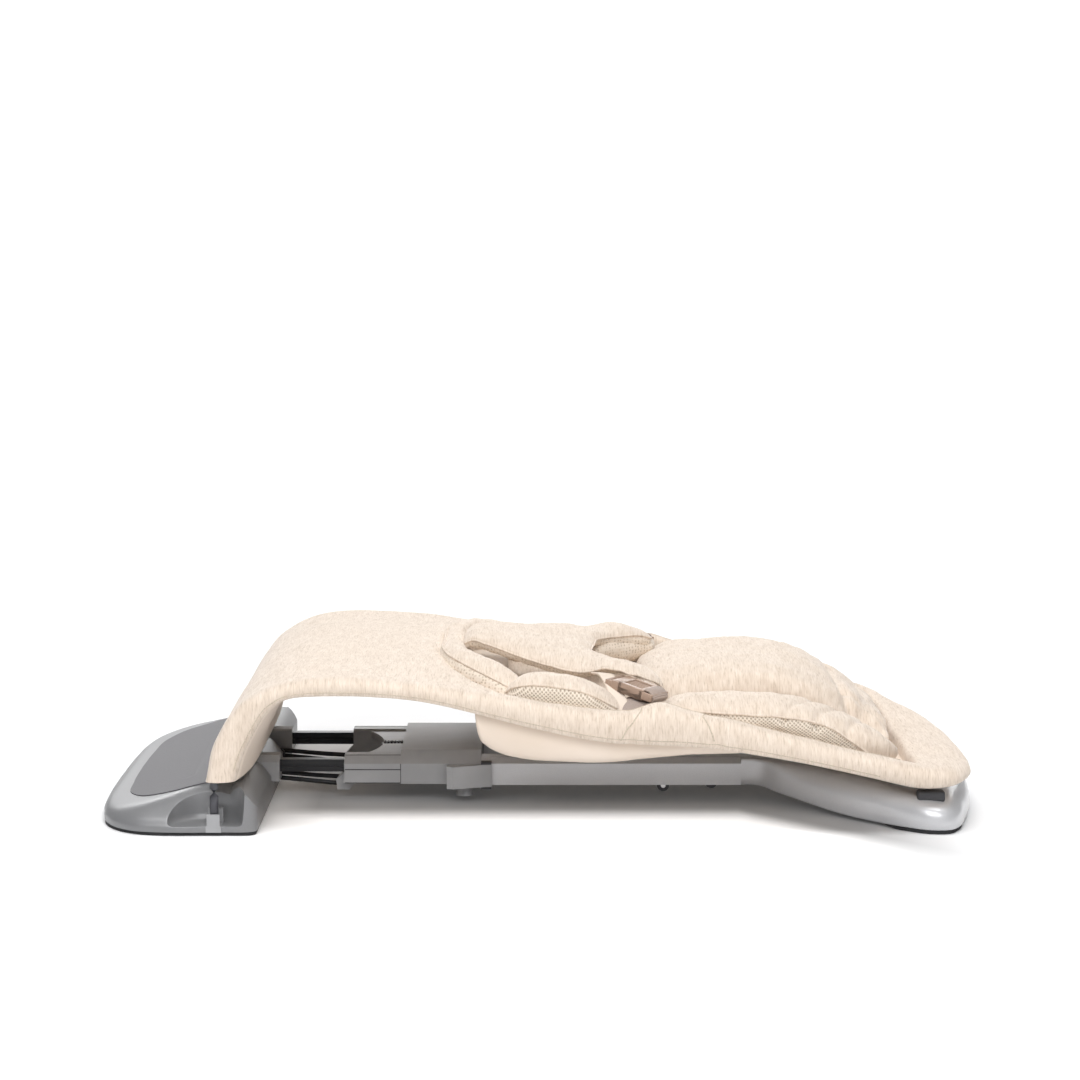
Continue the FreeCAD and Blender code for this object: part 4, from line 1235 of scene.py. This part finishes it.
# ---------------------------------------------------------------- seams
def seams():
    """Corded seam lines and the stitched contours of the cover."""
    graph = bpy.context.evaluated_depsgraph_get()
    tree = BVHTree.FromObject(bpy.data.objects["seat_cover_knit"], graph)

    def laid(name, route, radius, material, lift, count=50):
        points = []
        for point in smooth_path(route, count):
            place, normal, _, _ = tree.find_nearest(Vector(point) * MM)
            points.append(place / MM + normal * lift)
        tube(name, points, radius, material, "seat", "knit_fabric", 6)

    for side, suffix in SIDES:
        for number, x in enumerate(SEAM_XS):
            lean = 9 if number == 0 else -4
            route = [(x + lean + 2, side * 193, 118), (x + lean, side * 205, 117), (x, side * 213, 104),
                     (x - lean, side * 211, 88)]
            laid("rim_seam_%d_%s" % (number, suffix), route, 0.7, THREAD, 0.0)
        keys = np.linspace(5.0, 8.9, 14)
        route = [(TOP_AT[0](k), side * 192, TOP_AT[1](k)) for k in keys]
        laid("opening_stitch_" + suffix, route, 0.45, THREAD, 0.1, 90)
        keys = np.linspace(0.2, 8.7, 30)
        route = [(BOTTOM_AT[0](k), side * 214, BOTTOM_AT[1](k) + 3.0) for k in keys]
        laid("hem_stitch_" + suffix, route, 0.5, THREAD, 0.1, 160)


# ---------------------------------------------------------------- stage
FLOOR_WHITE = (0.93, 0.93, 0.935)
# colour of the painted shadow on the floor under the base
FLOOR_PAINTED_SHADOW = (0.34, 0.34, 0.345)
STUDIO_HALF_WIDTH = 9.0
WORLD_STRENGTH = 0.42


def stage():
    floor_mesh = bpy.data.meshes.new("backdrop")
    depth = [(-9.0, 0.0), (-3.0, 0.0), (0.0, 0.0), (3.0, 0.0)]
    depth += [(3.0 + 3.0 * math.sin(a), 3.0 - 3.0 * math.cos(a)) for a in np.linspace(0.1, math.pi / 2, 16)]
    depth.append((6.0, 9.0))
    verts = [(x, y, z) for y, z in depth for x in (-STUDIO_HALF_WIDTH, STUDIO_HALF_WIDTH)]
    floor_mesh.from_pydata(verts, [], grid_faces(len(depth), 2))
    floor_mesh.shade_smooth()
    floor = add_object("backdrop", floor_mesh)
    white, bsdf = shader("backdrop_white", FLOOR_WHITE, 1.0)
    where = node(white, "ShaderNodeTexCoord")
    split = node(white, "ShaderNodeSeparateXYZ")
    link(white, where.outputs["Object"], split.inputs["Vector"])
    reach = node(white, "ShaderNodeVectorMath", operation="LENGTH")
    link(white, where.outputs["Object"], reach.inputs[0])
    glow = node(white, "ShaderNodeMapRange", From_Min=1.4, From_Max=3.2, To_Min=0.04, To_Max=0.95)
    link(white, reach.outputs["Value"], glow.inputs["Value"])
    bsdf.inputs["Emission Color"].default_value = (1, 1, 1, 1)
    # the floor carries a painted shadow beneath the base and painted light that clears the seat's shadow just
    # in front of it
    past_rail = math_node(white, "MAXIMUM", math_node(white, "SUBTRACT", split.outputs["X"], 0.19), 0.0)
    depth_here = plus(white, split.outputs["Y"], times(white, past_rail, 0.95))

    def zone(*fades):
        total = None
        for value, start, stop in fades:
            fade = node(white, "ShaderNodeMapRange", From_Min=start, From_Max=stop)
            link(white, value, fade.inputs["Value"])
            result = fade.outputs["Result"]
            total = result if total is None else times(white, total, result)
        return total

    # painted light: camera-only emission that clears the seat's shadow just in front of the base
    clear = zone((depth_here, -0.105, -0.150), (split.outputs["X"], -0.270, -0.200),
                 (split.outputs["X"], 0.340, 0.240))
    # painted shadow: the floor's colour is darkened beneath the base
    under = zone((depth_here, -0.150, -0.095), (depth_here, 0.22, 0.04), (split.outputs["X"], -0.262, -0.215),
                 (split.outputs["X"], 0.40, 0.30))
    painted_shadow_tint = mix_color(white, times(white, under, 0.9), FLOOR_WHITE, FLOOR_PAINTED_SHADOW)
    link(white, painted_shadow_tint, bsdf.inputs["Base Color"])
    total = plus(white, glow.outputs["Result"], times(white, clear, 0.5))
    seen = node(white, "ShaderNodeLightPath").outputs["Is Camera Ray"]
    link(white, times(white, total, seen), bsdf.inputs["Emission Strength"])
    floor_mesh.materials.append(white)

    world = bpy.data.worlds.new("studio")
    world.use_nodes = True
    bpy.context.scene.world = world
    height = node(world, "ShaderNodeSeparateXYZ")
    link(world, node(world, "ShaderNodeTexCoord").outputs["Generated"], height.inputs["Vector"])
    sky = ramp(world, height.outputs["Z"], [(0.48, (0.55, 0.555, 0.565)), (1.0, (1.0, 1.0, 1.0))])
    dome = world.node_tree.nodes["Background"]
    dome.inputs["Strength"].default_value = WORLD_STRENGTH
    link(world, sky, dome.inputs["Color"])
    seen = node(world, "ShaderNodeBackground", Color=(1, 1, 1, 1))
    either = node(world, "ShaderNodeMixShader")
    link(world, node(world, "ShaderNodeLightPath").outputs["Is Camera Ray"], either.inputs[0])
    link(world, dome.outputs[0], either.inputs[1])
    link(world, seen.outputs[0], either.inputs[2])
    link(world, either.outputs[0], world.node_tree.nodes["World Output"].inputs["Surface"])

    def area(name, place, target, size, power):
        light = bpy.data.lights.new(name, "AREA")
        light.shape = "RECTANGLE"
        light.size, light.size_y = size
        light.energy = power
        lamp = add_object(name, light)
        lamp.location = place
        lamp.rotation_euler = (Vector(target) - Vector(place)).to_track_quat("-Z", "Y").to_euler()

    area("overhead", (0.0, -0.7, 2.6), (0.0, -0.1, 0.0), (2.4, 1.0), 44)
    area("front", (-0.2, -3.3, 2.15), (0.0, 0.0, 0.05), (3.0, 1.4), 76)
    area("behind", (-0.1, 2.7, 1.25), (0.0, 0.0, 0.0), (3.2, 1.0), 42)


CAMERA_LENS = 88.53
CAMERA_PLACE = (0.0, -2.604, 0.588)
CAMERA_PITCH = 7.447


def camera():
    data = bpy.data.cameras.new("camera")
    data.sensor_width = 36.0
    data.lens = CAMERA_LENS
    obj = add_object("camera", data)
    obj.location = CAMERA_PLACE
    obj.rotation_euler = (math.radians(90 - CAMERA_PITCH), 0, 0)
    bpy.context.scene.camera = obj
    bpy.context.scene.view_settings.view_transform = "Standard"


camera()
stage()
dress_cad_parts()
foot_plate()
links()
shell_shade_lines()
hoop()
rear_base()
cover()
leg_lining()
head_floor()
sling()
insert()
crotch()
harness()
seams()

bpy.context.view_layer.update()
